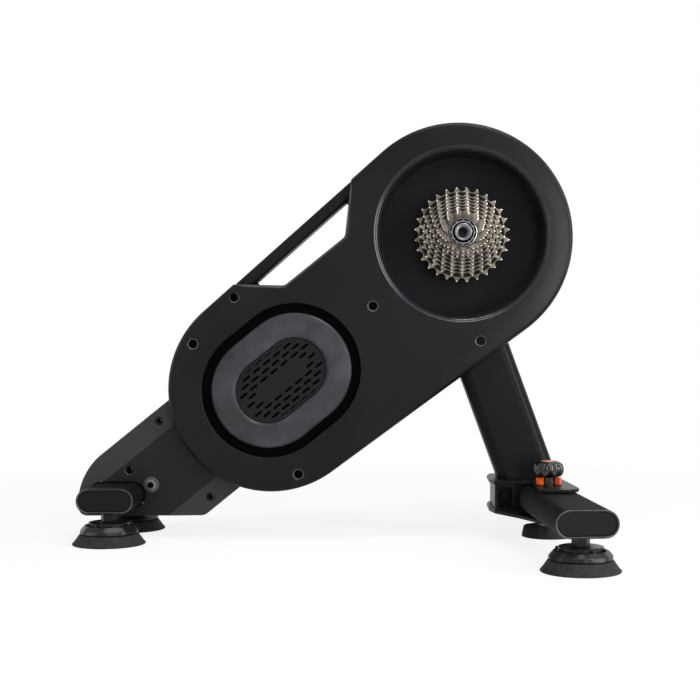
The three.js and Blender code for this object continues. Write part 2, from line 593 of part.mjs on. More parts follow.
// Rear leg: two castings on the plate, with bevelled bands along both edges
function rearLegHalf(face, seam) {
  const inward = Math.sign(seam - face);
  const [half, band] = [rearLeg.halfWidth, rearLeg.bandWidth];
  const bandEdge = face + inward * rearLeg.bandDrop;
  const section = [[bandEdge, -half], [face, band - half], [face, half - band], [bandEdge, half], [seam, half],
    [seam, -half]];
  const bar = beam(section, rearEnd - flywheelDistance, 0).rotateY(-tilt).translate(0, 0, axleHeight);
  const span = [face, seam].sort((a, b) => a - b);
  const reach = [face - inward * overrun, seam + inward * overrun].sort((a, b) => a - b);
  const screwHole = (x, z) => turnY([
    [0, face - inward * overrun],
    [legScrews.recess, face - inward * overrun],
    [legScrews.recess, face + inward * legScrews.recessDepth],
    [legScrews.shank + fit, face + inward * legScrews.recessDepth],
    [legScrews.shank + fit, seam + inward * overrun],
    [0, seam + inward * overrun],
  ], sides.tiny, x, z);
  return cut(
    common(prism(rearLegOutline(0), ...span), bar),
    atFlywheel(rod(housing.lowerRadius + rearLeg.seam, ...reach), sides.huge),
    prism(ovalOutline(rearBarX, oval.centreHeight, rearLeg.barSeam), ...reach),
    ...legScrewPlaces.map(([x, z]) => screwHole(x, z)),
    turnY(rod(clampBolt.shank + fit, ...reach), sides.small, clampBoltX, clampBolt.z),
  );
}
add('rear_leg_near', rearLegHalf(rearLeg.nearFace, plate.near - fit), blackPlastic);
add('rear_leg_far', rearLegHalf(rearLeg.farFace, plate.far + fit), blackPlastic);

function clampBoltSolid() {
  const near = rearLeg.nearFace - fit;
  const far = rearLeg.farFace + fit;
  const { washer, washerThick, head, headHigh, socket, socketDeep, shank } = clampBolt;
  return turnY([
    [0, near - headHigh + socketDeep],
    [socket, near - headHigh + socketDeep],
    [socket, near - headHigh],
    [head, near - headHigh],
    [head, near - washerThick],
    [washer, near - washerThick],
    [washer, near],
    [shank, near],
    [shank, far],
    [washer, far],
    [washer, far + washerThick],
    [head, far + washerThick],
    [head, far + headHigh],
    [0, far + headHigh],
  ], sides.small, clampBoltX, clampBolt.z);
}
add('rear_bar_bolt', clampBoltSolid(), chrome);

// Rear bar and its plugs
const ovalTube = (x, from, to) => cut(prism(ovalOutline(x, oval.centreHeight, 0), from, to),
  prism(ovalOutline(x, oval.centreHeight, -oval.wall), from - overrun, to + overrun));
function rearBarTube() {
  const studHoles = [-1, 1].map((side) => turnZ(rod(stud.radius + stud.play, pad.top, oval.centreHeight),
    sides.tiny, rearBarX, side * rearBar.footReach));
  return cut(ovalTube(rearBarX, -rearBar.halfLength, rearBar.halfLength), ...studHoles);
}
add('rear_bar', rearBarTube(), legPaint);
for (const [name, side] of sidesOfTrainer) {
  const outer = rearBar.halfLength - oval.plugRecess;
  const ends = [side * (outer - oval.plug), side * outer].sort((a, b) => a - b);
  add(`rear_bar_plug_${name}`, prism(ovalOutline(rearBarX, oval.centreHeight, -oval.wall - fit), ...ends),
    darkPlastic);
}

// Post
function postTube() {
  const slot = prism(tilted(lobes(plate.edgeInset - fit)), plate.near - fit, plate.far + fit);
  const screwHoles = postBoltPlaces.map(([x, z]) => turnY(rod(postBolts.shank + fit, -post.depth, post.depth),
    sides.tiny, x, z));
  const coverHole = acrossAt(rod(coverScrews.shank + fit, -post.depth, post.depth), sides.tiny,
    ...coverScrewPlaces[coverScrews.onPost]);
  const floor = slab([[-post.depth, -post.depth], [post.depth + post.width, -post.depth],
    [post.depth + post.width, post.depth], [-post.depth, post.depth]], -post.width, upperPlateTop + fit);
  return cut(postBar(0, -post.corner * 2, postLong), postBar(-post.wall, -post.width, postLong + overrun),
    slot, floor, coverHole, ...screwHoles);
}
add('post', postTube(), legPaint);
postBoltPlaces.forEach(([x, z], i) => {
  const face = post.depth / 2 + fit;
  const { shank, head, headHigh } = postBolts;
  add(`post_bolt_${i + 1}`, turnY([[0, -face - headHigh], [head, -face - headHigh], [head, -face],
    [shank, -face], [shank, face], [head, face], [head, face + headHigh], [0, face + headHigh]],
    sides.tiny, x, z), steel);
});

// Leg bracket
const mirrored = (half) => [...half, ...half.filter(([, y]) => y !== 0).reverse().map(([x, y, r]) => [x, -y, r])];
const plateOutline = (shoulder) => rounded(mirrored([
  [bracket.centreFrontX, 0, 0],
  [bracket.earFrontX, bracket.earHalf, bracket.earRound],
  [bracket.earRearOuterX, bracket.earHalf, bracket.smallRound],
  ...shoulder,
  [bracket.blockX, bracket.blockHalf, bracket.smallRound],
  [bracket.tongueX, bracket.tongueHalf, bracket.smallRound],
]), 3);

function legBracket() {
  const upper = slab(plateOutline([[bracket.earRearX, bracket.blockHalf, bracket.smallRound]]),
    upperPlateBottom, upperPlateTop);
  const lower = slab(plateOutline([[bracket.lowerShoulderX, bracket.lowerShoulderHalf, bracket.smallRound]]),
    lowerPlateBottom, lowerPlateTop);
  const core = slab(rounded(mirrored([
    [bracket.coreFront, bracket.coreBandHalf, bracket.coreFrontRound],
    [bracket.webEnd, bracket.coreBandHalf, 0],
    [bracket.webEnd, bracket.blockHalf, 0],
    [bracket.coreRear, bracket.blockHalf, bracket.smallRound],
  ])), lowerPlateBottom, upperPlateTop);
  const pockets = sidesOfTrainer.map(([, side]) => {
    const ys = [side * (bracket.blockHalf - bracket.pocketDeep), side * (bracket.blockHalf + overrun)];
    return prism([[bracket.pocketFrom, lowerPlateTop + bracket.pocketLip],
      [bracket.pocketTo, lowerPlateTop + bracket.pocketLip],
      [bracket.pocketTo, upperPlateBottom - bracket.pocketLip],
      [bracket.pocketFrom, upperPlateBottom - bracket.pocketLip]], ...ys.sort((a, b) => a - b));
  });
  const boltHoles = sidesOfTrainer.map(([, side]) => {
    const floor = bracket.blockHalf - bracket.pocketDeep;
    const ys = [side * (floor - bracketBolts.shankLong - fit), side * (floor + overrun)];
    return turnY(rod(bracketBolts.shank + fit, ...ys.sort((a, b) => a - b)), sides.tiny, bracketBolts.x,
      oval.centreHeight);
  });
  const pivots = sidesOfTrainer.map(([, side]) => turnZ(
    rod(pivotBolt.radius + fit, lowerPlateBottom - overrun, upperPlateTop + overrun), sides.small,
    leg.pivotX, side * leg.pivotY));
  const stemHole = turnZ(rod(centreFoot.stem + fit, lowerPlateBottom - overrun,
    lowerPlateBottom + centreFoot.stemDeep + fit), sides.small, centreFoot.x, 0);
  return cut(join(upper, lower, core), ...pockets, ...boltHoles, ...pivots, stemHole);
}
add('leg_bracket', legBracket(), legPaint);
for (const [name, side] of sidesOfTrainer) {
  add(`leg_pivot_bolt_${name}`, turnZ([
    [0, lowerPlateBottom - fit - pivotBolt.headHigh],
    [pivotBolt.head, lowerPlateBottom - fit - pivotBolt.headHigh],
    [pivotBolt.head, lowerPlateBottom - fit],
    [pivotBolt.radius, lowerPlateBottom - fit],
    [pivotBolt.radius, pivotBolt.top],
    [0, pivotBolt.top],
  ], sides.small, leg.pivotX, side * leg.pivotY), steel);
}

// Centre foot, fixed under the bracket
add('centre_foot_pad', turnZ([[0, 0], [centreFoot.radius, 0], [centreFoot.topRadius, centreFoot.high],
  [0, centreFoot.high]], sides.middle, centreFoot.x, 0), rubber);
add('centre_foot_stem', turnZ([
  [0, centreFoot.high + fit],
  [centreFoot.flange, centreFoot.high + fit],
  [centreFoot.flange, centreFoot.high + centreFoot.flangeHigh],
  [centreFoot.stem, centreFoot.high + centreFoot.flangeHigh],
  [centreFoot.stem, lowerPlateBottom + centreFoot.stemDeep],
  [0, lowerPlateBottom + centreFoot.stemDeep],
], sides.small, centreFoot.x, 0), steel);

// Front legs with their plugs, knobs and collars
const rootRound = oval.width / 2;
const legLength = leg.footReach + leg.beyondFoot;
function legTube() {
  const across = stadium(0, oval.centreHeight, (oval.width - oval.height) / 2, oval.height / 2, sides.small);
  const inner = stadium(0, oval.centreHeight, (oval.width - oval.height) / 2, oval.height / 2 - oval.wall,
    sides.small);
  const blunt = slab([...arc(0, 0, rootRound, Math.PI / 2, 3 * (Math.PI / 2), sides.small),
    [legLength, -rootRound], [legLength, rootRound]], 0, axleHeight);
  return cut(
    common(beam(across, -rootRound, legLength), blunt),
    beam(inner, leg.solidReach, legLength + overrun),
    turnZ(rod(pivotBolt.radius + fit, 0, axleHeight), sides.small, 0, 0),
    turnZ(rod(stud.radius + stud.play, pad.top, oval.centreHeight), sides.tiny, leg.footReach, 0),
  );
}
const legPlug = () => beam(stadium(0, oval.centreHeight, (oval.width - oval.height) / 2,
  oval.height / 2 - oval.wall - fit, sides.small), legLength - oval.plugRecess - oval.plug,
  legLength - oval.plugRecess);

function lockCollar() {
  const from = collar.mouthAngle / 2;
  const to = turnShare - collar.mouthAngle / 2;
  return slab([...arc(0, 0, collar.outer, from, to, sides.small),
    ...arc(0, 0, collar.inner, to, from, sides.small)], upperPlateTop + fit, upperPlateTop + collar.high);
}
function lockKnob() {
  const { radius, lobeCount: count, lobeShare, stepsPerLobe, bottom, top } = knob;
  const layer = (share, height) => [lobed(0, 0, radius * share, count, lobeShare, stepsPerLobe), height];
  const high = top - bottom;
  const head = loftZ(knob.profileShares.map(([radiusShare, heightShare]) => layer(radiusShare,
    bottom + high * heightShare)));
  const neck = turnZ(rod(knob.neck, upperPlateTop + knob.neckGap, bottom + knob.neckLap), sides.small, 0, 0);
  const hole = turnZ(rod(knob.boltHole, 0, knob.boltHoleTop), sides.small, 0, 0);
  return cut(join(head, neck), hole);
}

for (const [name, side] of sidesOfTrainer) {
  const along = side * (Math.PI / 2 - leg.splayAngle);
  const carrier = new THREE.Group();
  carrier.position.set(leg.pivotX, side * leg.pivotY, 0);
  carrier.rotation.z = along;
  trainer.add(carrier);
  addTo(carrier, `front_leg_${name}`, legTube(), legPaint);
  addTo(carrier, `front_leg_plug_${name}`, legPlug(), darkPlastic);
  const lock = new THREE.Group();
  lock.position.set(leg.pivotX, side * leg.pivotY, 0);
  lock.rotation.z = side * (Math.PI / 2);
  trainer.add(lock);
  addTo(lock, `lock_collar_${name}`, lockCollar(), orange);
  addTo(lock, `lock_knob_${name}`, lockKnob(), darkPlastic);
}

// Levelling feet
function footPad() {
  return turnZ([
    [pad.pinHole, 0],
    [pad.radius, 0],
    [pad.rimRadius, pad.rim],
    [pad.topRadius, pad.top],
    [pad.pinHole, pad.top],
    [pad.pinHole, 0],
  ], sides.middle, 0, 0);
}
function footScrew() {
  const layer = (radius, share, height) => [lobed(0, 0, radius, wheel.lobeCount, share, wheel.stepsPerLobe), height];
  const body = loftZ([
    layer(wheel.bottomRadius, 0, pad.top + fit),
    layer(wheel.waistRadius, wheel.lobeShare, wheel.waist),
    layer(wheel.topRadius, wheel.lobeShare, wheel.top),
  ]);
  const ribs = Array.from({ length: wheel.ribCount }, (_, i) => beam([[-wheel.ribWide / 2, wheel.top - fit],
    [wheel.ribWide / 2, wheel.top - fit], [wheel.ribWide / 2, wheel.ribTop], [-wheel.ribWide / 2, wheel.ribTop]],
    wheel.ribInner, wheel.topRadius * Math.cos(turnShare / wheel.lobeCount / 2))
    .rotateZ((turnShare * i) / wheel.ribCount));
  const cap = turnZ(rod(wheel.disc, wheel.top - fit, wheel.discTop), sides.small, 0, 0);
  const hexagon = circle(0, 0, stud.nutAcross / Math.sqrt(3), 6);
  const nut = slab(hexagon, wheel.discTop - fit, stud.nutTop);
  const shank = turnZ(rod(stud.radius, wheel.top, stud.top), sides.tiny, 0, 0);
  const pin = turnZ(rod(pad.pin, pad.pinBottom, wheel.top), sides.tiny, 0, 0);
  return join(body, ...ribs, cap, nut, shank, pin);
}
const footPlaces = [
  ['rear_near', rearBarX, -rearBar.footReach],
  ['rear_far', rearBarX, rearBar.footReach],
  ['front_near', leg.pivotX + leg.footReach * Math.sin(leg.splayAngle),
    -leg.pivotY - leg.footReach * Math.cos(leg.splayAngle)],
  ['front_far', leg.pivotX + leg.footReach * Math.sin(leg.splayAngle),
    leg.pivotY + leg.footReach * Math.cos(leg.splayAngle)],
];
for (const [name, x, y] of footPlaces) {
  add(`foot_pad_${name}`, footPad(), rubber).position.set(x, y, 0);
  add(`foot_screw_${name}`, footScrew(), darkPlastic).position.set(x, y, 0);
}

// Axle set
const axleEnd = axle.dropoutHalf + axle.stubLong;
add('main_axle', atAxle([
  [axle.bore, -axleEnd], [axle.stub, -axleEnd], [axle.stub, axle.bodyNear], [axle.body, axle.bodyNear],
  [axle.body, axle.bodyFar], [axle.stub, axle.bodyFar], [axle.stub, axleEnd], [axle.bore, axleEnd],
  [axle.bore, -axleEnd],
], sides.small), darkPlastic);
add('drive_end_cap', atAxle([
  [axle.stub + fit, -axle.dropoutHalf], [endCap.radius, -axle.dropoutHalf], [endCap.radius, endCap.shoulder],
  [endCap.neck, endCap.shoulder], [endCap.neck, endCap.inner], [axle.stub + fit, endCap.inner],
  [axle.stub + fit, -axle.dropoutHalf],
], sides.small), chrome);
add('far_end_cap', atAxle([
  [axle.stub + fit, farCap.inner], [farCap.baseRadius, farCap.inner], [farCap.baseRadius, housing.farFace],
  [farCap.radius, farCap.coneEnd], [farCap.radius, axle.dropoutHalf], [axle.stub + fit, axle.dropoutHalf],
  [axle.stub + fit, farCap.inner],
], sides.small), aluminium);

for (const [name, from] of [['near', bearing.nearY], ['far', bearing.farY]]) {
  const race = (inner) => ring(inner + fit, bearing.outer, from, from + bearing.wide);
  add(`hub_bearing_${name}`, atAxle(race(hub.outer), sides.middle), steel);
  add(`flywheel_bearing_${name}`, atFlywheel(race(flywheel.shaft), sides.middle), steel);
}

add('hub_shaft', atAxle(ring(axle.body + fit, hub.outer, hub.near, hub.far), sides.small), steel);
add('ratchet_ring', prism(lobed(0, 0, hub.ratchet, hub.toothCount, hub.toothShare, 2), hub.ratchetNear,
  hub.ratchetFar, [circle(0, 0, hub.outer + fit, sides.small)]).translate(0, 0, axleHeight), steel);
function drivePulleySolid() {
  const { radius, near, far, rim, webNear, webFar, hubRadius } = drivePulley;
  const bore = hub.outer + fit;
  const body = atAxle([
    [bore, near], [hubRadius, near], [hubRadius, webNear], [radius - rim, webNear], [radius - rim, near],
    [radius, near], [radius, far], [radius - rim, far], [radius - rim, webFar], [hubRadius, webFar],
    [hubRadius, far], [bore, far], [bore, near],
  ], sides.large);
  const holes = Array.from({ length: drivePulley.holeCount }, (_, i) => {
    const angle = (turnShare * i) / drivePulley.holeCount;
    return turnY(rod(drivePulley.holeRadius, near, far), sides.tiny,
      drivePulley.holeCircle * Math.cos(angle), axleHeight + drivePulley.holeCircle * Math.sin(angle));
  });
  return cut(body, ...holes);
}
add('drive_pulley', drivePulleySolid(), aluminium);

// Freehub body with its splines, and the cassette on it
function freehubBody() {
  const barrel = prism(lobed(0, 0, freehub.outer, freehub.splineCount, freehub.splineDeep / freehub.outer, 4),
    freehub.near, freehub.far).translate(0, 0, axleHeight);
  const flange = atAxle(rod(freehub.flange, freehub.far - freehub.flangeThick, freehub.far), sides.middle);
  const bore = atAxle(rod(hub.outer + fit, freehub.near - overrun, freehub.far + overrun), sides.small);
  const mouth = atAxle(rod(freehub.frontBore, freehub.near - overrun, freehub.near + freehub.frontBoreDeep),
    sides.small);
  return cut(join(barrel, flange), bore, mouth);
}
add('freehub_body', freehubBody(), aluminium);

// A sprocket's outline from its number of teeth: valleys for the chain's rollers between blunt teeth
function sprocketOutline(teeth) {
  const pitchRadius = cassette.chainPitch / (2 * Math.sin(Math.PI / teeth));
  const tip = pitchRadius + cassette.tipRise;
  const root = pitchRadius - cassette.rootDrop;
  const step = turnShare / teeth;
  return Array.from({ length: teeth }, (_, i) => [
    [tip, -cassette.tipHalf / tip], [tip, cassette.tipHalf / tip], [root, step / 2],
  ].map(([radius, turn]) => [radius * Math.cos(step * i + turn), radius * Math.sin(step * i + turn)])).flat();
}
const cogTeeth = [28, 25, 23, 21, 19, 17, 15, 14, 13, 12, 11];
const cogY = (i) => cassette.largestY - cassette.pitch * i;
const cassetteEnd = cogY(cogTeeth.length - 1) - cassette.thick / 2;
function cogGroup(first, last, spacer) {
  const cogs = [];
  for (let i = first; i <= last; i += 1) {
    cogs.push(prism(sprocketOutline(cogTeeth[i]), cogY(i) - cassette.thick / 2, cogY(i) + cassette.thick / 2));
  }
  const sleeveEnd = Math.max(cogY(last + 1) + cassette.thick / 2 + fit, cassetteEnd);
  const sleeve = prism(circle(0, 0, spacer, sides.small), sleeveEnd, cogY(first));
  const bore = prism(circle(0, 0, freehub.outer + fit, sides.middle), cogY(last + 1), cogY(first) + cassette.pitch);
  return cut(join(...cogs, sleeve), bore).translate(0, 0, axleHeight);
}
add('cogs_large', cogGroup(0, 3, cassette.spacerRadius), steel);
add('cogs_middle', cogGroup(4, 6, cassette.spacerRadius), steel);
add('cogs_small', cogGroup(7, 10, cassette.smallSpacerRadius), steel);
function lockringSolid() {
  const far = cassetteEnd - fit;
  const notches = Array.from({ length: lockring.notchCount }, (_, i) => prism([
    [lockring.inner - fit, -lockring.notchHalf], [lockring.inner + lockring.notchDeep, -lockring.notchHalf],
    [lockring.inner + lockring.notchDeep, lockring.notchHalf], [lockring.inner - fit, lockring.notchHalf]],
    far - lockring.thick - overrun, far + overrun)
    .rotateY((turnShare * i) / lockring.notchCount).translate(0, 0, axleHeight));
  return cut(atAxle(ring(lockring.inner, lockring.outer, far - lockring.thick, far), sides.middle), ...notches);
}
add('cassette_lockring', lockringSolid(), chrome);

// Flywheel, brake and belt drive
add('flywheel', atFlywheel([
  [flywheel.shaft + fit, flywheel.near], [flywheel.radius, flywheel.near], [flywheel.radius, flywheel.far],
  [flywheel.rimInner, flywheel.far], [flywheel.rimInner, flywheel.near + flywheel.webThick],
  [flywheel.hubRadius, flywheel.near + flywheel.webThick], [flywheel.hubRadius, boss.near - fit],
  [flywheel.shaft + fit, boss.near - fit], [flywheel.shaft + fit, flywheel.near],
], sides.huge), iron);
add('flywheel_shaft', atFlywheel(rod(flywheel.shaft, flywheel.shaftNear, flywheel.shaftFar), sides.small), steel);
add('flywheel_pulley', atFlywheel(ring(flywheel.shaft + fit, smallPulley.radius, drivePulley.near,
  drivePulley.far), sides.middle), steel);

function brakeStator() {
  const { inner, ring: yokeRadius, outer, near, far, poleHalf, coilThick, coilInner, coilOuter } = stator;
  const yoke = prism(circle(0, 0, yokeRadius, sides.middle), near, plate.near - fit);
  const block = (half, from, to, low, high) => prism([[low, -half], [high, -half], [high, half], [low, half]],
    from, to);
  const poles = Array.from({ length: stator.poleCount }, (_, i) => join(
    common(prism(circle(0, 0, outer, sides.large), near, far), block(poleHalf, near, far, inner, outer)),
    block(poleHalf + coilThick, near - coilThick, far + coilThick - fit, coilInner, coilOuter),
  ).rotateY((turnShare * i) / stator.poleCount));
  const bore = prism(circle(0, 0, inner, sides.middle), near - overrun, plate.near);
  return cut(join(yoke, ...poles), bore).translate(flywheelX, 0, flywheelZ);
}
add('brake_stator', brakeStator(), copper);

const beltOutline = (grow) => tilted(hull([-flywheelDistance, smallPulley.radius + grow],
  [0, drivePulley.radius + grow], sides.middle));
add('drive_belt', prism(beltOutline(fit + belt.thick), belt.near, belt.far, [beltOutline(fit)]), rubber);

const [idlerX, idlerZ] = sideView([idlerS, idlerT]);
add('idler_roller', turnY(ring(idler.pin + fit, idler.radius, idler.near, idler.far), sides.middle,
  idlerX, idlerZ), steel);
function idlerArm() {
  const arm = prism(tilted(stadium(idlerS - idler.armLong / 2, idlerT, idler.armLong / 2, idler.armWidth / 2,
    sides.tiny)), plate.far + fit, idler.armFar);
  const pin = turnY([[0, plate.near], [idler.pin, plate.near], [idler.pin, idler.far + fit],
    [idler.head, idler.far + fit], [idler.head, idler.pinFar], [0, idler.pinFar]], sides.small, idlerX, idlerZ);
  const bolt = acrossAt([[0, plate.near], [idler.pin, plate.near], [idler.pin, idler.armFar],
    [idler.head, idler.armFar], [idler.head, idler.armFar + idler.pin], [0, idler.armFar + idler.pin]],
    sides.tiny, idlerS - idler.armLong, idlerT);
  return join(arm, pin, bolt);
}
add('idler_arm', idlerArm(), aluminium);

// Control board on four posts, and the power inlet in the back cover
function controlBoard() {
  const [long, wide] = [board.long / 2, board.wide / 2];
  const panel = (halfS, halfT, near, far, t = board.t) => prism(tilted([[boardS - halfS, t - halfT],
    [boardS + halfS, t - halfT], [boardS + halfS, t + halfT], [boardS - halfS, t + halfT]]), near, far);
  const chips = board.chipShares.map((share) => panel(board.chip / 2, board.chip / 2,
    board.near - board.chipHigh, board.near + board.thick / 2, board.t + share * board.long));
  const posts = [-1, 1].flatMap((u) => [-1, 1].map((v) => acrossAt(
    rod(board.post, board.near, plate.near - fit), sides.tiny,
    boardS + u * (wide - board.postInset), board.t + v * (long - board.postInset))));
  return join(panel(wide, long, board.near, board.near + board.thick), ...chips, ...posts);
}
add('control_board', controlBoard(), greenBoard);
function powerInlet() {
  const face = housing.farFace;
  const barrel = acrossAt(rod(inlet.outer, face - inlet.deep, face), sides.small, inletS, inlet.t);
  const flange = acrossAt(rod(inlet.flange, face + fit, face + inlet.flangeThick), sides.small, inletS, inlet.t);
  const link = acrossAt(rod(inlet.outer, face - inlet.flangeThick, face + inlet.flangeThick), sides.small,
    inletS, inlet.t);
  const socket = acrossAt(rod(inlet.inner, face - inlet.pinDeep, face + overrun), sides.tiny, inletS, inlet.t);
  const pin = acrossAt(rod(inlet.pin, face - inlet.deep + fit, face - inlet.flangeThick), sides.tiny, inletS,
    inlet.t);
  return join(cut(join(barrel, flange, link), socket), pin);
}
add('power_inlet', powerInlet(), darkPlastic);

// The origin is under the middle of the trainer's length
const frontReach = leg.pivotX + leg.footReach * Math.sin(leg.splayAngle) + pad.rimRadius;
trainer.position.x = -(frontReach + rearEnd) / 2;

export default trainer;
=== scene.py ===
# %% [markdown]
# # A direct drive bike trainer
# The rider takes the rear wheel off and hangs the bike on the sprockets of this stand. Nearly
# everything on it is black: moulded covers, powder coated tubes and rubber feet. What tells them
# apart is how each one shines, so the lesson is mostly about edges and about gloss.
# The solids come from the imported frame. Most of those that show get a finer skin in their place.

# %% Load the frame
import bmesh
import bpy
import math
import numpy as np
from mathutils import Matrix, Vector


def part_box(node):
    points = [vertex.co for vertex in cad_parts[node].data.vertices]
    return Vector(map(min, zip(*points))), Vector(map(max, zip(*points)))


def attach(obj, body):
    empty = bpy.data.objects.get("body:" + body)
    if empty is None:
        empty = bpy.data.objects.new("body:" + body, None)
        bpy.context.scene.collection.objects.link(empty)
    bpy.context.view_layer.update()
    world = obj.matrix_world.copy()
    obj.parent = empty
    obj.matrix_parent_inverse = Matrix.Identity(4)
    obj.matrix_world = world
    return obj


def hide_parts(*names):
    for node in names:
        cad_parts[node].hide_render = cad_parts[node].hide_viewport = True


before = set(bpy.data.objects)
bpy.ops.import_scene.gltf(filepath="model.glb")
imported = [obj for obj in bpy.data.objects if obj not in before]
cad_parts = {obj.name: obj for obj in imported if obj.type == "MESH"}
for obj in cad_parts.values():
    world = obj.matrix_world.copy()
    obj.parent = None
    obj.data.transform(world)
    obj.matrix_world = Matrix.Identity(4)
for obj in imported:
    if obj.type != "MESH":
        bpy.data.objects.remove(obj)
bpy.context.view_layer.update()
low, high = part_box("hub_shaft")
axle_x, axle_z = (low.x + high.x) / 2 * 1000, (low.z + high.z) / 2 * 1000
print("nodes", len(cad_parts), "axle at", round(axle_x, 1), round(axle_z, 1), "mm")

# %% [markdown]
# ## Camera
# The photograph was taken level, from about 1.65 m, with the lens axis right of the picture's
# middle. A shifted lens gives that: the camera looks straight along +Y, and the shift moves the
# frame. The focal length is 1330 pixels of a 700 pixel frame.

# %% Camera
FRAME_PIXELS = 700
FOCAL_PIXELS = 1330
CENTRE_PIXEL = (408, 340)
CAMERA_PLACE = (-66, -1650, 243)
lens = bpy.data.cameras.new("photo_lens")
lens.sensor_width = 36
lens.lens = FOCAL_PIXELS / FRAME_PIXELS * lens.sensor_width
lens.shift_x = (FRAME_PIXELS / 2 - CENTRE_PIXEL[0]) / FRAME_PIXELS
lens.shift_y = (CENTRE_PIXEL[1] - FRAME_PIXELS / 2) / FRAME_PIXELS
camera = bpy.data.objects.new("photo_camera", lens)
camera.location = [(a + b) / 1000 for a, b in zip(CAMERA_PLACE, (axle_x, 0, 0))]
camera.rotation_euler = (math.radians(90), 0, 0)
bpy.context.scene.collection.objects.link(camera)
bpy.context.scene.camera = camera
bpy.context.scene.view_settings.view_transform = "Standard"
print("lens", round(lens.lens, 1), "mm, shift", round(lens.shift_x, 4), round(lens.shift_y, 4))

# %% [markdown]
# ## Drawing in the housing's own directions
# The housing leans 39 degrees. Its outline is easy to draw along its long axis and across it, so
# points are given as (s, t) from the axle and then turned into the side view. All lengths are in
# millimetres from the axle (X) and the floor (Z), and one function turns them to metres.

# %% Outlines
REACH = 299
AXLE = 372
FLYWHEEL = 183.83
UPPER_RADIUS, LOWER_RADIUS, UPPER_SHIFT = 139, 125, 6
TILT = math.asin((AXLE - FLYWHEEL) / REACH)
flywheel_x = -REACH * math.cos(TILT)


def side_view(st):
    """Places along and across the housing to the side view: a turn by the tilt, then a lift."""
    s, t = np.asarray(st, float).T
    return np.stack([s * math.cos(TILT) - t * math.sin(TILT),
                     AXLE + s * math.sin(TILT) + t * math.cos(TILT)], 1)


def housing_directions(x, z):
    """The side view back to places along and across the housing: the same turn the other way."""
    return (x * math.cos(TILT) + (z - AXLE) * math.sin(TILT),
            (z - AXLE) * math.cos(TILT) - x * math.sin(TILT))


def arc(centre, radius, start, end, count):
    """Points on a circle: centre plus radius times cosine and sine of evenly stepped angles."""
    turn = np.linspace(start, end, count)
    return np.stack([centre[0] + radius * np.cos(turn), centre[1] + radius * np.sin(turn)], 1)


def circle(centre, radius, count):
    """A whole circle, without its first point twice."""
    return arc(centre, radius, 0, 2 * math.pi, count + 1)[:-1]


def stadium(centre, half, radius, count=96):
    """Two half circles, each moved by half along the first axis."""
    quarter = math.pi / 2
    right = arc((centre[0] + half, centre[1]), radius, -quarter, quarter, count // 2)
    left = arc((centre[0] - half, centre[1]), radius, quarter, 3 * quarter, count // 2)
    return np.concatenate([right, left])


def wrapped(left, left_radius, right, right_radius, count=110):
    """A band round two circles. The sine of its straight sides' slope is the difference of the
    radii over the distance."""
    slope = math.asin((right_radius - left_radius) / (right - left))
    quarter = math.pi / 2
    return np.concatenate([
        arc((right, 0), right_radius, -quarter - slope, quarter + slope, count),
        arc((left, 0), left_radius, quarter + slope, 3 * quarter - slope, count)])


def housing(inset=0, count=110):
    """The housing's outline, drawn in by an inset."""
    return wrapped(-REACH, LOWER_RADIUS - inset, -UPPER_SHIFT, UPPER_RADIUS - inset, count)


def filleted(corners, steps=7):
    """A polygon of (x, y, radius) corners. Each arc's centre lies on the corner's bisector, radius
    over the sine of the half angle away."""
    corners = [np.array(c, float) for c in corners]
    points = []
    for i, corner in enumerate(corners):
        if corner[2] == 0:
            points.append(corner[None, :2])
            continue
        back = corners[i - 1][:2] - corner[:2]
        ahead = corners[(i + 1) % len(corners)][:2] - corner[:2]
        back, ahead = back / np.linalg.norm(back), ahead / np.linalg.norm(ahead)
        half = math.acos(float(np.clip(back @ ahead, -1, 1))) / 2
        middle = (back + ahead) / np.linalg.norm(back + ahead)
        centre = corner[:2] + middle * corner[2] / math.sin(half)
        ends = [corner[:2] + way * corner[2] / math.tan(half) - centre for way in (back, ahead)]
        start, end = [math.atan2(e[1], e[0]) for e in ends]
        end = start + (end - start + math.pi) % (2 * math.pi) - math.pi
        points.append(arc(centre, corner[2], start, end, steps))
    return np.concatenate(points)


def rounding(size, steps):
    """A quarter round as pairs: size times one minus the sine of the turn to draw in by, and size
    times one minus its cosine to go back by."""
    return [(size * (1 - math.sin(a)), size * (1 - math.cos(a)))
            for a in np.linspace(0, math.pi / 2, steps)]


def drawn_in(outline, distance):
    """Moves each point of a counter-clockwise outline inwards, by the mean normal of its edges."""
    edge = np.roll(outline, -1, 0) - outline
    edge = edge / np.maximum(np.linalg.norm(edge, axis=1, keepdims=True), 1e-9)
    normal = np.stack([-edge[:, 1], edge[:, 0]], 1)
    mean = normal + np.roll(normal, 1, 0)
    return outline + distance * mean / np.maximum((mean * mean).sum(1, keepdims=True) / 2, 0.5)


print("housing outline has", len(housing()), "points")

# %% [markdown]
# ## Skins
# Every piece is a stack of rings with the same number of points. Neighbouring rings are joined by
# quads, and the stack is either capped at both ends or closed on itself, like a ring's section.
# Openings are carved from these skins, as a mould maker would mill them.

# %% Skins and carving
def solid(name, points, faces):
    """Points in millimetres from the axle and the floor become a mesh in metres, faces outwards."""
    points = np.asarray(points, float).reshape(-1, 3)
    mesh = bpy.data.meshes.new(name)
    mesh.from_pydata(((points + [axle_x, 0, 0]) / 1000).tolist(), [], faces)
    work = bmesh.new()
    work.from_mesh(mesh)
    bmesh.ops.recalc_face_normals(work, faces=work.faces)
    work.to_mesh(mesh)
    work.free()
    piece = bpy.data.objects.new(name, mesh)
    bpy.context.scene.collection.objects.link(piece)
    return piece


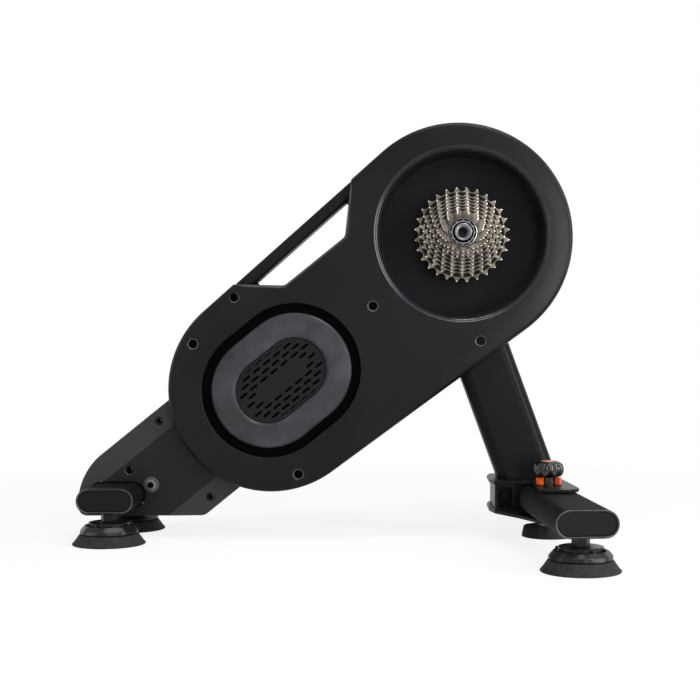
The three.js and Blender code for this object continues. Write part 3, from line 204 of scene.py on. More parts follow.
def skin(name, rings, closed=False):
    """Joins ring to ring with quads: corner (i, j) to (i, j+1), (i+1, j+1) and (i+1, j)."""
    rings = np.asarray(rings, float)
    index = np.arange(rings.shape[0] * rings.shape[1]).reshape(rings.shape[:2])
    after = np.roll(index, -1, 0) if closed else index[1:]
    before = index if closed else index[:-1]
    quads = np.stack([before, np.roll(before, -1, 1), np.roll(after, -1, 1), after], -1)
    caps = [] if closed else [index[0].tolist(), index[-1].tolist()]
    return solid(name, rings, quads.reshape(-1, 4).tolist() + caps)


def at_depth(outline, y):
    """A side-view outline stood at a depth Y."""
    return np.stack([outline[:, 0], np.full(len(outline), float(y)), outline[:, 1]], 1)


def at_height(outline, z):
    """A plan-view outline laid at a height Z."""
    return np.stack([outline[:, 0], outline[:, 1], np.full(len(outline), float(z))], 1)


def plate(name, outline, near, far, edge=0, lay=at_depth):
    """An outline carried from near to far, with a quarter round of the edge's size at both ends."""
    quarter = rounding(edge, 4) if edge else [(0, 0)]
    first = [lay(drawn_in(outline, inset), near + back) for inset, back in quarter]
    last = [lay(drawn_in(outline, inset), far - back) for inset, back in quarter]
    return skin(name, first + last[::-1])


def turned(name, profile, centre, axis="Y", count=96):
    """A profile of (radius, height) turned about Y or Z. A profile that starts and ends on the axis
    is capped there, and any other closes on itself."""
    profile = np.asarray(profile, float)
    capped = profile[0][0] == 0 and profile[-1][0] == 0
    profile = profile[1:-1] if capped else profile
    ways = circle((0, 0), 1, count)
    rings = [[centre[0], centre[1]] + ways * r for r, _ in profile]
    lay = at_depth if axis == "Y" else at_height
    return skin(name, [lay(ring, h) for ring, (_, h) in zip(rings, profile)], closed=not capped)


def rod(radius, low, high, place, count):
    """An upright round rod."""
    return turned("tool", [(0, low), (radius, low), (radius, high), (0, high)], place, "Z", count)


def settled(piece):
    """Applies the modifiers, so that the next step works on the shape itself."""
    graph = bpy.context.evaluated_depsgraph_get()
    mesh = bpy.data.meshes.new_from_object(piece.evaluated_get(graph))
    piece.modifiers.clear()
    piece.data = mesh
    return piece


def carved(piece, *tools, way="DIFFERENCE"):
    """Cuts, joins or intersects a piece with tools, and deletes the tools."""
    for tool in tools:
        step = piece.modifiers.new("carve", "BOOLEAN")
        step.operation, step.object, step.solver = way, tool, "MANIFOLD"
        settled(piece)
        bpy.data.objects.remove(tool)
    return piece


def gathered(name, pieces):
    """Puts several closed skins into one mesh."""
    work = bmesh.new()
    for piece in pieces:
        work.from_mesh(piece.data)
    mesh = bpy.data.meshes.new(name)
    work.to_mesh(mesh)
    work.free()
    for piece in pieces:
        bpy.data.objects.remove(piece)
    whole = bpy.data.objects.new(name, mesh)
    bpy.context.scene.collection.objects.link(whole)
    return whole


def spun(piece, angle, x, y):
    """Turns a piece drawn about the axle's upright line by an angle, and moves it to (x, y). The
    vertices move, so that the object itself stays at the origin."""
    there = Matrix.Translation(((axle_x + x) / 1000, y / 1000, 0))
    back = Matrix.Translation((-axle_x / 1000, 0, 0))
    piece.data.transform(there @ Matrix.Rotation(angle, 4, "Z") @ back)
    return piece


def dressed(piece, body, material, *nodes, slot=None, angle=32):
    """Shades a piece smooth between its sharp edges, weights its normals by face area so that
    flat faces stay flat, gives it its finish and lets it ride on its body."""
    piece.data.shade_smooth()
    piece.data.set_sharp_from_angle(angle=math.radians(angle))
    weighted = piece.modifiers.new("flat_faces", "WEIGHTED_NORMAL")
    weighted.keep_sharp = True
    settled(piece)
    piece.data.materials.clear()
    piece.data.materials.append(material)
    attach(piece, body)
    if nodes:
        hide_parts(*nodes)
    return piece


def face_places(piece):
    """The middles of a piece's faces, in millimetres from the axle, middle plane and floor."""
    centres = np.empty(len(piece.data.polygons) * 3)
    piece.data.polygons.foreach_get("center", centres)
    return (centres.reshape(-1, 3) * 1000 - [axle_x, 0, 0]).T


def nearest(x, z, places):
    """The distance in the side view from each face to the nearest of some places."""
    return np.min([np.hypot(x - place[0], z - place[1]) for place in places], axis=0)


def refinished(piece, material, chosen, largest=0.00003):
    """Gives the chosen faces another finish, in a slot of its own. A broad face whose middle
    happens to lie in the chosen place keeps its own: largest is in square metres."""
    index = np.empty(len(piece.data.polygons), np.int32)
    piece.data.polygons.foreach_get("material_index", index)
    area = np.empty(len(index))
    piece.data.polygons.foreach_get("area", area)
    chosen = chosen & (area < largest)
    index[chosen] = len(piece.data.materials)
    piece.data.materials.append(material)
    piece.data.polygons.foreach_set("material_index", index)
    return int(np.count_nonzero(chosen))


# %% [markdown]
# ## Finishes
# Each finish starts from the real material and from how its surface was made. Colours are written
# as sRGB hex values, as they would be picked from a screen, and one function makes them linear.

# %% Colour and nodes
def colour(text):
    """sRGB to linear: each channel over 255, then the standard's power curve."""
    parts = np.array([int(text[i:i + 2], 16) for i in (1, 3, 5)]) / 255
    linear = np.where(parts <= 0.04045, parts / 12.92, ((parts + 0.055) / 1.055) ** 2.4)
    return (*linear.tolist(), 1.0)


def node(material, kind, settings=None):
    """Adds a node and sets its properties or sockets by name. A value that is another node's
    socket is linked."""
    made = material.node_tree.nodes.new("ShaderNode" + kind)
    for name, value in (settings or {}).items():
        if isinstance(value, bpy.types.NodeSocket):
            material.node_tree.links.new(value, made.inputs[name])
        elif isinstance(name, str) and hasattr(made, name):
            setattr(made, name, value)
        else:
            made.inputs[name].default_value = value
    return made


def ranged(material, value, low, high, to_low=0.0, to_high=1.0):
    """Maps a value from one range onto another, and keeps it inside."""
    return node(material, "MapRange", {"From Min": low, "From Max": high, "To Min": to_low,
                                       "To Max": to_high, "Value": value}).outputs["Result"]


def reckoned(material, operation, *values, kind="Math", out=0):
    """One step of arithmetic on sockets or numbers."""
    settings = {"operation": operation, **dict(enumerate(values))}
    return node(material, kind, settings).outputs[out]


def blended(material, share, first, second):
    """A colour mix: the first where the share is 0 and the second where it is 1."""
    return node(material, "Mix", {"data_type": "RGBA", "Factor": share, 6: first,
                                  7: second}).outputs[2]


def finish(name, base, roughness, texture=(2.0, 0.1, 0.02), metallic=0.0, mottle=0.08, level=0.5,
           stretch=(1, 1, 1), ior=1.5, patches=9.0):
    """A plain finish: a base colour that drifts a little over the surface, roughness that varies
    with the grain, and the grain itself as a shallow bump. The texture is the size of a grain in
    millimetres, the swing in roughness and the strength of the bump, and patches the number of
    colour patches to a metre. A stretched grain shows in the colour too."""
    grain_mm, grain, bump = texture
    material = bpy.data.materials.new(name)
    material.use_nodes = True
    shader = material.node_tree.nodes["Principled BSDF"]
    place = node(material, "TexCoord").outputs["Object"]
    scaled = node(material, "Mapping", {"Scale": stretch, "Vector": place}).outputs["Vector"]
    fine = node(material, "TexNoise", {"Scale": 1000 / grain_mm, "Detail": 3.0, "Vector": scaled})
    broad = node(material, "TexNoise", {"Scale": patches, "Detail": 3.0, "Vector": place})
    dark, light = [[c * k for c in colour(base)[:3]] + [1.0] for k in (1 - mottle, 1 + mottle)]
    drifting = ranged(material, (broad if stretch == (1, 1, 1) else fine).outputs["Fac"], 0.3, 0.7)
    rough = ranged(material, fine.outputs["Fac"], 0.0, 1.0,
                   roughness - grain / 2, roughness + grain / 2)
    relief = node(material, "Bump", {"Strength": bump, "Distance": grain_mm / 4000,
                                     "Height": fine.outputs["Fac"]})
    link = material.node_tree.links.new
    link(blended(material, drifting, dark, light), shader.inputs["Base Color"])
    link(rough, shader.inputs["Roughness"])
    link(relief.outputs["Normal"], shader.inputs["Normal"])
    shader.inputs["Metallic"].default_value = metallic
    shader.inputs["Specular IOR Level"].default_value = level
    shader.inputs["IOR"].default_value = ior
    return material


# %% Finishes of the trainer
# ABS moulded in a spark-eroded tool: a fine matt grain that catches a soft, broad gloss. The real
# grain is near 0.2 mm, too fine to show, so it is drawn ten times as coarse. The specular level is
# low on all the blacks, because the whole white studio shows in their gloss.
moulded_abs = finish("moulded_abs", "#0e0f12", 0.28, (2.0, 0.06, 0.04), mottle=0.4, level=0.15)
# The bowl's floor comes from an etched part of the mould and stays dull, and its mouth is polished.
etched_abs = finish("etched_abs", "#1a1a1c", 0.6, (2.0, 0.05, 0.02), mottle=0.1, level=0.02)
polished_abs = finish("polished_abs", "#131417", 0.24, (2.0, 0.04, 0.02), mottle=0.1, level=0.45)
# Dull near black behind the brake's groove, with no gloss: painted shade, so it reads as a gap.
groove_shade = finish("painted_groove_shade", "#060607", 0.9, (2.0, 0.1, 0.3), level=0.01)
# Painted shade darkens wells, sockets and gaps; a paler grey on their lips is a painted highlight.
painted_shade_black = finish("painted_shade_black", "#070708", 0.8, (1.0, 0.1, 0.1), level=0.02)
painted_highlight_lip = finish("painted_highlight_lip", "#38383b", 0.30, (1.0, 0.05, 0.02), level=0.2)
# The ring over the brake is painted: smoother, greyer and with a satin gloss.
painted_ring = finish("satin_painted_ring", "#303134", 0.26, (1.2, 0.06, 0.03), mottle=0.5,
                      level=0.2, patches=24.0)
# The grille is dull and barely reflects, so that its slots read as black.
grille_black = finish("dull_grille", "#1d1d20", 0.55, (1.5, 0.05, 0.03), mottle=0.1, level=0.03)
# Nylon with glass fibre, moulded dull: plugs and the handle's sleeve.
nylon = finish("glass_filled_nylon", "#0e0e10", 0.42, (1.5, 0.12, 0.15), level=0.12)
# The same nylon from a polished tool, where hands touch it: the knobs, and greyer the foot wheels.
glossy_nylon = finish("polished_nylon", "#0c0c0e", 0.16, (1.5, 0.06, 0.03), level=0.5)
wheel_nylon = finish("satin_nylon", "#151413", 0.30, (1.5, 0.06, 0.03), level=0.2)
# Powder coat on the tubes: slightly pebbled, with a satin sheen.
powder_coat = finish("black_powder_coat", "#111113", 0.34, (1.6, 0.08, 0.08), level=0.5, ior=1.16)
# The legs and the bar, which meet the floor and hands, have a coarser and duller powder.
leg_coat = finish("textured_powder_coat", "#101012", 0.62, (1.6, 0.08, 0.08), level=0.5, ior=1.1)
# The tubes' sawn rims are half metallic like bared steel, and paler as a painted highlight.
rim_highlight = finish("painted_highlight_rim", "#3c3c40", 0.28, (1.0, 0.1, 0.05), metallic=0.5, level=0.3)
# Anodised aluminium plate between the covers.
anodised = finish("black_anodised_plate", "#1c1c1e", 0.40, (1.0, 0.1, 0.03), metallic=0.3,
                  level=0.1)
# Rubber of the feet: brownish, dull, paler where it is dusty, with upright scores from turning.
rubber = finish("foot_rubber", "#2d2b2b", 0.62, (4.0, 0.2, 0.15), mottle=0.3, level=0.04,
                stretch=(1, 1, 0.03))
belt_rubber = finish("belt_rubber", "#141414", 0.7, (2.0, 0.1, 0.1), level=0.1)
# Metals keep the default index of refraction: their colour is their reflection.
chrome = finish("polished_chrome", "#7c7c80", 0.22, (3.0, 0.05, 0.01), metallic=1.0)
bare_steel = finish("turned_steel", "#7d7a76", 0.32, (0.8, 0.12, 0.05), metallic=1.0)
# The flywheel is coloured near black as painted shade, so nothing shines behind the grille's slots.
shade_black_iron = finish("painted_shade_iron", "#080809", 0.7, (1.5, 0.1, 0.05), level=0.03)
blackened = finish("blackened_steel", "#101011", 0.35, (1.0, 0.1, 0.05), metallic=0.5, level=0.1)
screw_steel = finish("zinc_black_screw", "#3c3c3e", 0.30, (1.0, 0.1, 0.05), metallic=0.9)
cast_aluminium = finish("cast_aluminium", "#8a8b8d", 0.4, (1.5, 0.1, 0.08), metallic=1.0)
dark_zinc = finish("dark_zinc", "#57575a", 0.3, (1.0, 0.1, 0.03), metallic=0.9)
copper_wire = finish("enamelled_copper", "#8a4f2e", 0.35, (0.9, 0.1, 0.3), metallic=0.8,
                     stretch=(1, 0.1, 1))
orange_nylon = finish("orange_nylon", "#c94c10", 0.30, (1.5, 0.08, 0.08), level=0.25)
board_lacquer = finish("green_solder_lacquer", "#1f5a3c", 0.3, (2.0, 0.05, 0.03))
print("finishes", len(bpy.data.materials))

# %% [markdown]
# ## Stage and light
# A white studio: one floor, a soft key lamp high at the front right with a card below it, a strip
# at the left, a broad box at the right and a strip above, which draw the lines along the edges.
# The floor and the world show white to the camera and in gloss by a Light Path, so the lamps can
# stay at a plain level and the blacks stay black.

# %% Stage and light
def seen_white(material, fallback, weight):
    """Camera, glossy and transmission rays see plain white by a weight, other rays the fallback."""
    path = node(material, "LightPath").outputs
    seen = reckoned(material, "ADD", path["Is Camera Ray"], path["Is Glossy Ray"])
    more = node(material, "Math", {"operation": "ADD", "use_clamp": True, 0: seen,
                                   1: path["Is Transmission Ray"]})
    share = reckoned(material, "MULTIPLY", more.outputs[0], weight)
    white = node(material, "Emission" if hasattr(material, "blend_method") else "Background",
                 {"Strength": 1.0, "Color": (1, 1, 1, 1)})
    mix = node(material, "MixShader", {0: share, 1: fallback.outputs[0], 2: white.outputs[0]})
    return mix.outputs[0]


world = bpy.data.worlds.new("white_studio")
bpy.context.scene.world = world
world.use_nodes = True
world.node_tree.nodes.clear()
room = node(world, "Background", {"Color": (1, 1, 1, 1), "Strength": 0.38})
node(world, "OutputWorld", {"Surface": seen_white(world, room, 1.0)})

paper = bpy.data.materials.new("white_paper")
paper.use_nodes = True
paper.node_tree.nodes.clear()
matt = node(paper, "BsdfDiffuse", {"Color": (0.86, 0.86, 0.86, 1)})
spot = node(paper, "TexCoord").outputs["Object"]
away = reckoned(paper, "LENGTH", spot, kind="VectorMath", out="Value")
whiteness = ranged(paper, away, 0.4, 1.1, 0.84, 1.0)
node(paper, "OutputMaterial", {"Surface": seen_white(paper, matt, whiteness)})
floor_mesh = bpy.data.meshes.new("floor")
floor_mesh.from_pydata([(-9, -9, 0), (9, -9, 0), (9, 9, 0), (-9, 9, 0)], [], [(0, 1, 2, 3)])
floor = bpy.data.objects.new("floor", floor_mesh)
floor.location.z = -0.0005
floor_mesh.materials.append(paper)
bpy.context.scene.collection.objects.link(floor)


def lamp(name, place, aim, size, power):
    """A soft box: an area lamp turned so that its face looks at the aim."""
    light = bpy.data.lights.new(name, "AREA")
    light.shape, light.size, light.size_y, light.energy = "RECTANGLE", size[0], size[1], power
    box = bpy.data.objects.new(name, light)
    box.location = place
    way = [a - b for a, b in zip(aim, place)]
    yaw = math.atan2(way[1], way[0]) - math.pi / 2
    rise = math.atan2(way[2], math.hypot(way[0], way[1]))
    box.rotation_euler = (math.pi / 2 + rise, 0, yaw)
    bpy.context.scene.collection.objects.link(box)


lamp("key_soft_box", (0.6, -1.8, 1.8), (0, 0, 0.2), (0.7, 0.7), 10)
lamp("front_card", (0.85, -2.2, 0.35), (0.1, 0, 0.3), (0.3, 0.9), 11)
lamp("left_strip", (-1.5, -0.5, 0.5), (0, 0, 0.25), (0.06, 1.4), 6)
lamp("right_soft_box", (1.4, -0.8, 0.6), (0, 0, 0.25), (0.5, 1.6), 26)
lamp("top_strip", (0.3, -0.5, 1.7), (0, 0, 0.2), (1.4, 0.10), 14)

# %% [markdown]
# ## Moulded covers
# The two covers are injection moulded shells with a 5 mm rounded edge. Each is a stack of outlines
# that draws in towards the face, less its hollow. The bowl, the brake's recess, the notch for the
# hand and the five screw wells are cut out as the mould's cores would leave them.

# %% Places on the housing
NEAR, FAR = -40, 45
PLATE_NEAR, PLATE_FAR = -2, 7
SIDES = (("near", -1), ("far", 1))
WALL = 3
EDGE = 5
FIT = 0.3
OVER = 3
VENT, VENT_HALF = 16.5 - REACH, 20.6
REAR_END = flywheel_x - 237.6
BAR_X = flywheel_x - 190.1
BAR_Z = 53.5
PLATE_TOP = 72.85
LEAN = math.radians(20)
# The photograph's post is wider than its solid, which is 60 mm wide.
POST_X, POST_WIDTH, POST_DEPTH, POST_CORNER = 81, 70, 56, 14
BOWL_RADIUS, CUP_RADIUS, RIM_RADIUS = 97.6, 103.2, 111.5
RECESS_RADIUS, RECESS_FLOOR, RECESS_THICK = 80.5, -34, 2.5
LEG_NEAR, LEG_FAR = -22, 27
LEG_SCREWS = [(flywheel_x - behind, z) for behind, z in ((138.6, 144), (75.6, 51), (174.6, 84))]
LEG_RECESS = 6.5
LEG_HALF, FIELD_HALF, BAND_DROP = 69, 41, 4
WELL_RADIUS = 5.2
CLAMP_PLACE = (flywheel_x - 147.6, 66)
# The gap for the hand: its floor's two ends, how far either end has run out at the mouth's level,
# and the slopes that this gives the ends.
NOTCH_REAR, NOTCH_FRONT, NOTCH_FLOOR, NOTCH_LIP = 92 - REACH, -113, 87, 2.8
NOTCH_MOUTH, REAR_RUN, FRONT_RUN = 128, 51, 43
REAR_SLANT, FRONT_SLANT = 1.2, 1.01
# The last cover screw goes into the post and the others into the plate.
COVER_SCREWS = [(35.2 - REACH, 114), (-39 - REACH, 101.5), (-39 - REACH, -101.5), (-139.5, 0),
                (-64.6, -115)]
SEAT_DEEP, POST_SEAT = 26, 4
CLAMP_HOLE, LEG_SCREW_HOLE, COVER_SCREW_HOLE = 4.3, 2.7, 2.5
hub_place = (0, AXLE)
flywheel_place = (flywheel_x, FLYWHEEL)


def inwards(face, seam):
    """Which way along Y leads from a face to its seam."""
    return 1 if seam > face else -1


def place_of(s, t):
    """One place along and across the housing, as (x, z)."""
    return tuple(side_view([(s, t)])[0])


def block(outline, near, far):
    """A plain cutting tool: an outline carried straight from one depth to the other."""
    return plate("tool", outline, min(near, far), max(near, far))


def bore(radius, near, far, place, count=96):
    """A round cutting tool across the housing."""
    return block(circle(place, radius, count), near, far)


def notch_outline(grow):
    """The gap for the hand: a slanted four-sided opening with rounded floor corners."""
    rise = (UPPER_RADIUS - NOTCH_FLOOR) / (NOTCH_MOUTH - NOTCH_FLOOR)
    low, high = NOTCH_FLOOR - grow, UPPER_RADIUS + 2
    corners = [(NOTCH_REAR - grow, low, 9), (NOTCH_FRONT + grow, low, 9),
               (NOTCH_FRONT + FRONT_RUN * rise + grow, high, 0),
               (NOTCH_REAR - REAR_RUN * rise - grow, high, 0)]
    return side_view(filleted(corners, 12))


def notch(grow, near, far):
    """The gap for the hand as a straight cutting tool."""
    return block(notch_outline(grow), near, far)


def lipped_notch(face, seam):
    """The gap for the hand with a rounded mouth where it meets a cover's face."""
    inward = inwards(face, seam)
    rings = [at_depth(notch_outline(NOTCH_LIP), face - inward * OVER)]
    rings += [at_depth(notch_outline(inset), face + inward * (0.6 + back))
              for inset, back in rounding(NOTCH_LIP, 6)]
    return skin("tool", rings + [at_depth(notch_outline(0), seam + inward * OVER)])


def post_outline(grow):
    """The post's section: a rectangle with rounded corners."""
    w, d, r = POST_WIDTH / 2 + grow, POST_DEPTH / 2 + grow, POST_CORNER + grow
    return filleted([(-w, -d, r), (w, -d, r), (w, d, r), (-w, d, r)], 12)


def leaning(points):
    """Places on the upright post to the scene: a lean backwards, then onto the bracket."""
    x, y, z = np.asarray(points, float).reshape(-1, 3).T
    return np.stack([x * math.cos(LEAN) - z * math.sin(LEAN) + POST_X, y,
                     x * math.sin(LEAN) + z * math.cos(LEAN) + PLATE_TOP], 1)


def post_bar(grow, start, end):
    """The post as a solid bar along its own length."""
    outline = post_outline(grow)
    return skin("tool", [leaning(at_height(outline, h)) for h in (start, end)])


lower_slope = (UPPER_RADIUS - LOWER_RADIUS) / (REACH - UPPER_SHIFT)
right = (-math.sin(LEAN), math.cos(LEAN))
start_s = POST_X * math.cos(TILT) + (PLATE_TOP - AXLE) * math.sin(TILT)
start_t = -POST_X * math.sin(TILT) + (PLATE_TOP - AXLE) * math.cos(TILT)
along_s = right[0] * math.cos(TILT) + right[1] * math.sin(TILT)
along_t = -right[0] * math.sin(TILT) + right[1] * math.cos(TILT)
POST_RISE = 34
outline_t = -(LOWER_RADIUS + (start_s + REACH) * lower_slope)
POST_ENTRY = (outline_t - start_t) / (along_t + along_s * lower_slope)
POST_LONG = POST_ENTRY + POST_RISE
print("post runs", round(POST_LONG, 1), "mm up to inside the housing")


# %% Covers
CROWN_BAND = 28


def crown(inset):
    """How far the face falls back near its edge: 1.6 mm times the squared share of a 28 mm band."""
    return 1.6 * np.clip(1 - np.asarray(inset, float) / CROWN_BAND, 0, 1) ** 2


def inset_of(s, t):
    """How deep a place lies inside the housing's outline: the least distance to its points."""
    return float(np.min(np.linalg.norm(housing(0, 400) - [s, t], axis=1)))


def screw_plan(face, seam):
    """Each cover screw's place, and the depths of its pillar's end, its seat and its well's top."""
    inward = inwards(face, seam)
    plan = []
    for s, t in COVER_SCREWS:
        end, seat = seam, face + inward * SEAT_DEEP
        if (s, t) == COVER_SCREWS[-1]:
            end = -inward * (POST_DEPTH / 2 + FIT)
            seat = end - inward * POST_SEAT
        plan.append((place_of(s, t), end, seat, face + inward * crown(inset_of(s, t))))
    return inward, plan


def cover(face, seam, kept, removed):
    """A rounded shell of outlines drawn in towards the face, less its hollow and its openings."""
    inward, plan = screw_plan(face, seam)
    band = [at_depth(side_view(housing(inset)), face + inward * crown(inset))
            for inset in np.linspace(CROWN_BAND, EDGE, 10)]
    start = face + inward * crown(EDGE)
    rings = [at_depth(side_view(housing(inset)), start + inward * back)
             for inset, back in rounding(EDGE, 8)[1:]]
    shell = skin("cover", band + rings + [at_depth(side_view(housing()), seam)])
    hollow = block(side_view(housing(WALL)), face + inward * WALL, seam + inward * OVER)
    pillars = [bore(6.6, face + inward * 1.5, end, place, 40) for place, end, _, _ in plan]
    carved(hollow, notch(WALL, NEAR - OVER, FAR + OVER), *pillars, *kept)
    wells = [turned("tool", [
        (0, top - inward * OVER), (6.9, top - inward * OVER), (6.9, top),
        (6.5, top + inward * 0.35),
        (WELL_RADIUS, top + inward * 0.9), (WELL_RADIUS, seat), (COVER_SCREW_HOLE, seat),
        (COVER_SCREW_HOLE, end + inward * OVER), (0, end + inward * OVER)], place, count=48)
        for place, end, seat, top in plan]
    return carved(shell, hollow, lipped_notch(face, seam), *wells,
                  post_bar(FIT, -60, POST_LONG + FIT), *removed)


def vent_outline(radius):
    """The brake's outline: two half circles, one either way from its middle."""
    return side_view(stadium((VENT, 0), VENT_HALF, radius, 180))


def flared(outline, radius, top, floor, lip):
    """A cutting tool with a rounded mouth, which widens by the lip near the top."""
    rings = [at_depth(outline(radius + lip), top - OVER)]
    rings += [at_depth(outline(radius + more), top + back) for more, back in rounding(lip, 5)]
    return skin("tool", rings + [at_depth(outline(radius), floor)])


near_seam, far_seam = PLATE_NEAR - FIT, PLATE_FAR + FIT
# The bowl's mouth is an arc that opens from a steep wall to a shallow rim, with the faint ripple
# that hand polishing leaves in a turned mould.
MOUTH_ARC, RIPPLE, RIPPLE_PITCH = 20.5, 0.1, 2.2
tilt = np.radians(np.linspace(30, 80, 46))
mouth = np.stack([BOWL_RADIUS + MOUTH_ARC * (math.sin(tilt[-1]) - np.sin(tilt)),
                  NEAR + MOUTH_ARC * (math.cos(tilt[0]) - np.cos(tilt))], 1)
mouth[:, 1] += RIPPLE * np.sin((mouth[:, 0] - BOWL_RADIUS) * 2 * math.pi / RIPPLE_PITCH)
bowl = turned("tool", [
    (0, NEAR - OVER), (mouth[0][0], NEAR - OVER), *mouth, (97.2, -10), (96.8, -7.0), (96, -5.5),
    (95, -5), (40, -5), (40, near_seam + OVER), (0, near_seam + OVER)], hub_place, count=220)
cup = bore(CUP_RADIUS, NEAR, near_seam, hub_place, 180)
mouth_stock = bore(RIM_RADIUS, NEAR, NEAR + 12, hub_place, 180)
recess_floor = block(vent_outline(RECESS_RADIUS + WALL), NEAR, RECESS_FLOOR + RECESS_THICK)
front_cover = cover(NEAR, near_seam, [cup, mouth_stock, recess_floor],
                    [bowl, flared(vent_outline, RECESS_RADIUS, NEAR, RECESS_FLOOR, 0.9),
                     block(vent_outline(50), NEAR, near_seam)])
INLET_RADIUS, CAP_RADIUS = 7, 15
inlet_bore = bore(INLET_RADIUS + FIT, far_seam, FAR + OVER, place_of(-31 - REACH, -60), 48)
cap_bore = bore(CAP_RADIUS + FIT, far_seam, FAR + OVER, hub_place)
back_cover = cover(FAR, far_seam, [], [cap_bore, inlet_bore])
front_cover.name, back_cover.name = "drive_side_cover", "far_side_cover"
dressed(front_cover, "base", moulded_abs, "front_cover")
x, y, z = face_places(front_cover)
along, across = housing_directions(x, z)
apart = np.hypot(np.maximum(np.abs(along - VENT) - VENT_HALF, 0), across)
reach = np.hypot(x, z - AXLE)
refinished(front_cover, etched_abs, (reach < BOWL_RADIUS) & (y > -24) & (y < -3), 1.0)
refinished(front_cover, polished_abs, (reach > BOWL_RADIUS - 0.1) & (reach < mouth[0][0])
           & (y > NEAR + 0.02) & (y < -20))
# Painted shade: the groove's faces take the dull near black.
in_groove = (apart < RECESS_RADIUS + 0.4) & (y > NEAR + 1.2) & (y < RECESS_FLOOR + 2)
print("faces in the groove", refinished(front_cover, groove_shade, in_groove, 1.0))
dressed(back_cover, "base", moulded_abs, "back_cover")
for shell, face, seam in ((front_cover, NEAR, near_seam), (back_cover, FAR, far_seam)):
    inward, plan = screw_plan(face, seam)
    x, y, z = face_places(shell)
    below = (y - face) * inward
    along, across = housing_directions(x, z)
    up = across - NOTCH_FLOOR
    ahead = along - (NOTCH_FRONT + up * FRONT_SLANT)
    behind = (NOTCH_REAR - up * REAR_SLANT) - along
    past_ends = np.maximum(ahead / math.hypot(1, FRONT_SLANT), behind / math.hypot(1, REAR_SLANT))
    out = np.maximum(past_ends, -up)
    # Painted highlight: the rounded mouth of the notch takes a paler grey.
    lip = ((out > 0.02) & (out < NOTCH_LIP) & (up > -3) & (along > -REACH) & (along < -50)
           & (below > 0.62) & (below < 0.6 + NOTCH_LIP))
    print("faces in the notch's mouth", refinished(shell, painted_highlight_lip, lip, 0.0002))
    reach = nearest(x, z, [place for place, _, _, _ in plan])
    # Painted highlight: the wells' lips take a paler grey.
    lip = (reach < 6.85) & (reach > 5.25) & (below < 1.9) & (below > 0.02)
    refinished(shell, painted_highlight_lip, lip)
    # Painted shade: the wells take a dull near black.
    refinished(shell, painted_shade_black, (reach < 5.25) & (below > 0.8))
print("cover faces", len(front_cover.data.polygons), len(back_cover.data.polygons))

# %% [markdown]
# ## Screws
# Every cover screw is a button of blackened steel with a six-sided socket, deep in its well. One
# profile turned about its axis makes the head, and a six-sided tool cuts the socket.

# %% Screws
def socket_screw(radius, high, socket, place, seat, out):
    """A screw head that stands out of its seat: rounded rim, then a hexagonal socket."""
    top = seat + out * high
    head = turned("screw", [(0, seat), (radius, seat), (radius, top - out * 0.8),
                            (radius * 0.93, top - out * 0.25), (radius * 0.8, top), (0, top)],
                  place, count=40)
    return carved(head, block(circle(place, socket, 6), top - out * high * 0.6, top + out))


cover_screws = []
for face, seam in ((NEAR, near_seam), (FAR, far_seam)):
    inward, plan = screw_plan(face, seam)
    cover_screws += [socket_screw(4.4, 3.4, 2.3, place, seat, -inward)
                     for place, _, seat, _ in plan]
dressed(gathered("cover_screws", cover_screws), "base", blackened)
leg_screws = [socket_screw(4.3, 3.6, 2.3, place, face - out * LEG_RECESS, out)
              for face, out in ((LEG_NEAR, -1), (LEG_FAR, 1)) for place in LEG_SCREWS]
leg_screws = dressed(gathered("rear_leg_screws", leg_screws), "base", screw_steel)
x, y, z = face_places(leg_screws)
# Painted shade in the screws' sockets.
refinished(leg_screws, painted_shade_black, nearest(x, z, LEG_SCREWS) < 2.4)
print("screws on the covers", len(cover_screws))

# %% [markdown]
# ## Brake cover
# A painted ring stands a little proud of the face, dished towards a slotted grille. The ring is
# one closed section carried round two half circles. The grille is a flat plate that is pierced by
# staggered slots, 11.3 by 2.9 mm, all cut at once. The middle stays plain.

# %% Brake cover
def carried(name, outline, section, closed=True, lay=at_depth):
    """A section of (size, depth) carried round an outline: one ring for each of its points."""
    return skin(name, [lay(outline(size), depth) for size, depth in section], closed=closed)


ring_section = filleted([(69, -33.7, 0), (69, -37.5, 1.6), (66.6, -39.8, 1.6), (42.4, -42, 0.5),
                         (39.3, -40.6, 0.3), (39.3, -36, 0), (35.5, -36, 0), (35.5, -33.7, 0)], 5)
ring = carried("brake_cover_ring_skin", vent_outline, ring_section)
dressed(ring, "base", painted_ring, "brake_cover_ring", angle=40)

SLOT_PITCH, ROW_PITCH, SLOT_HALF, SLOT_RADIUS = 15.7, 7.05, 4.2, 1.45
slot_places = []
for row in range(-5, 6):
    for column in range(-5, 6):
        s, t = (column + row % 2 / 2) * SLOT_PITCH, row * ROW_PITCH
        inside = math.hypot(max(abs(s) + 5.2 - VENT_HALF, 0), t) < 36.9
        if inside and not (abs(s) < 33 and abs(t) < 10):
            slot_places.append((VENT + s, t))
grille = plate("brake_grille_skin", vent_outline(39), -38.8, -35.7, edge=0.4)
slot_tool = gathered("tool", [block(side_view(stadium(place, SLOT_HALF, SLOT_RADIUS, 16)), -40, -35)
                              for place in slot_places])
carved(grille, slot_tool)
dressed(grille, "base", grille_black, "brake_grille")
x, y, z = face_places(grille)
# Painted shade: the grille's back and its slots' walls are dull near black, so the slots read dark.
refinished(grille, painted_shade_black, (y > -38.3))
print("grille slots", len(slot_places))

# %% [markdown]
# ## Frame plate and handle
# A 9 mm aluminium plate is the trainer's spine. It shows as a dark line between the covers, and it
# is the core of the handle, which wears a plastic sleeve with rounded edges.

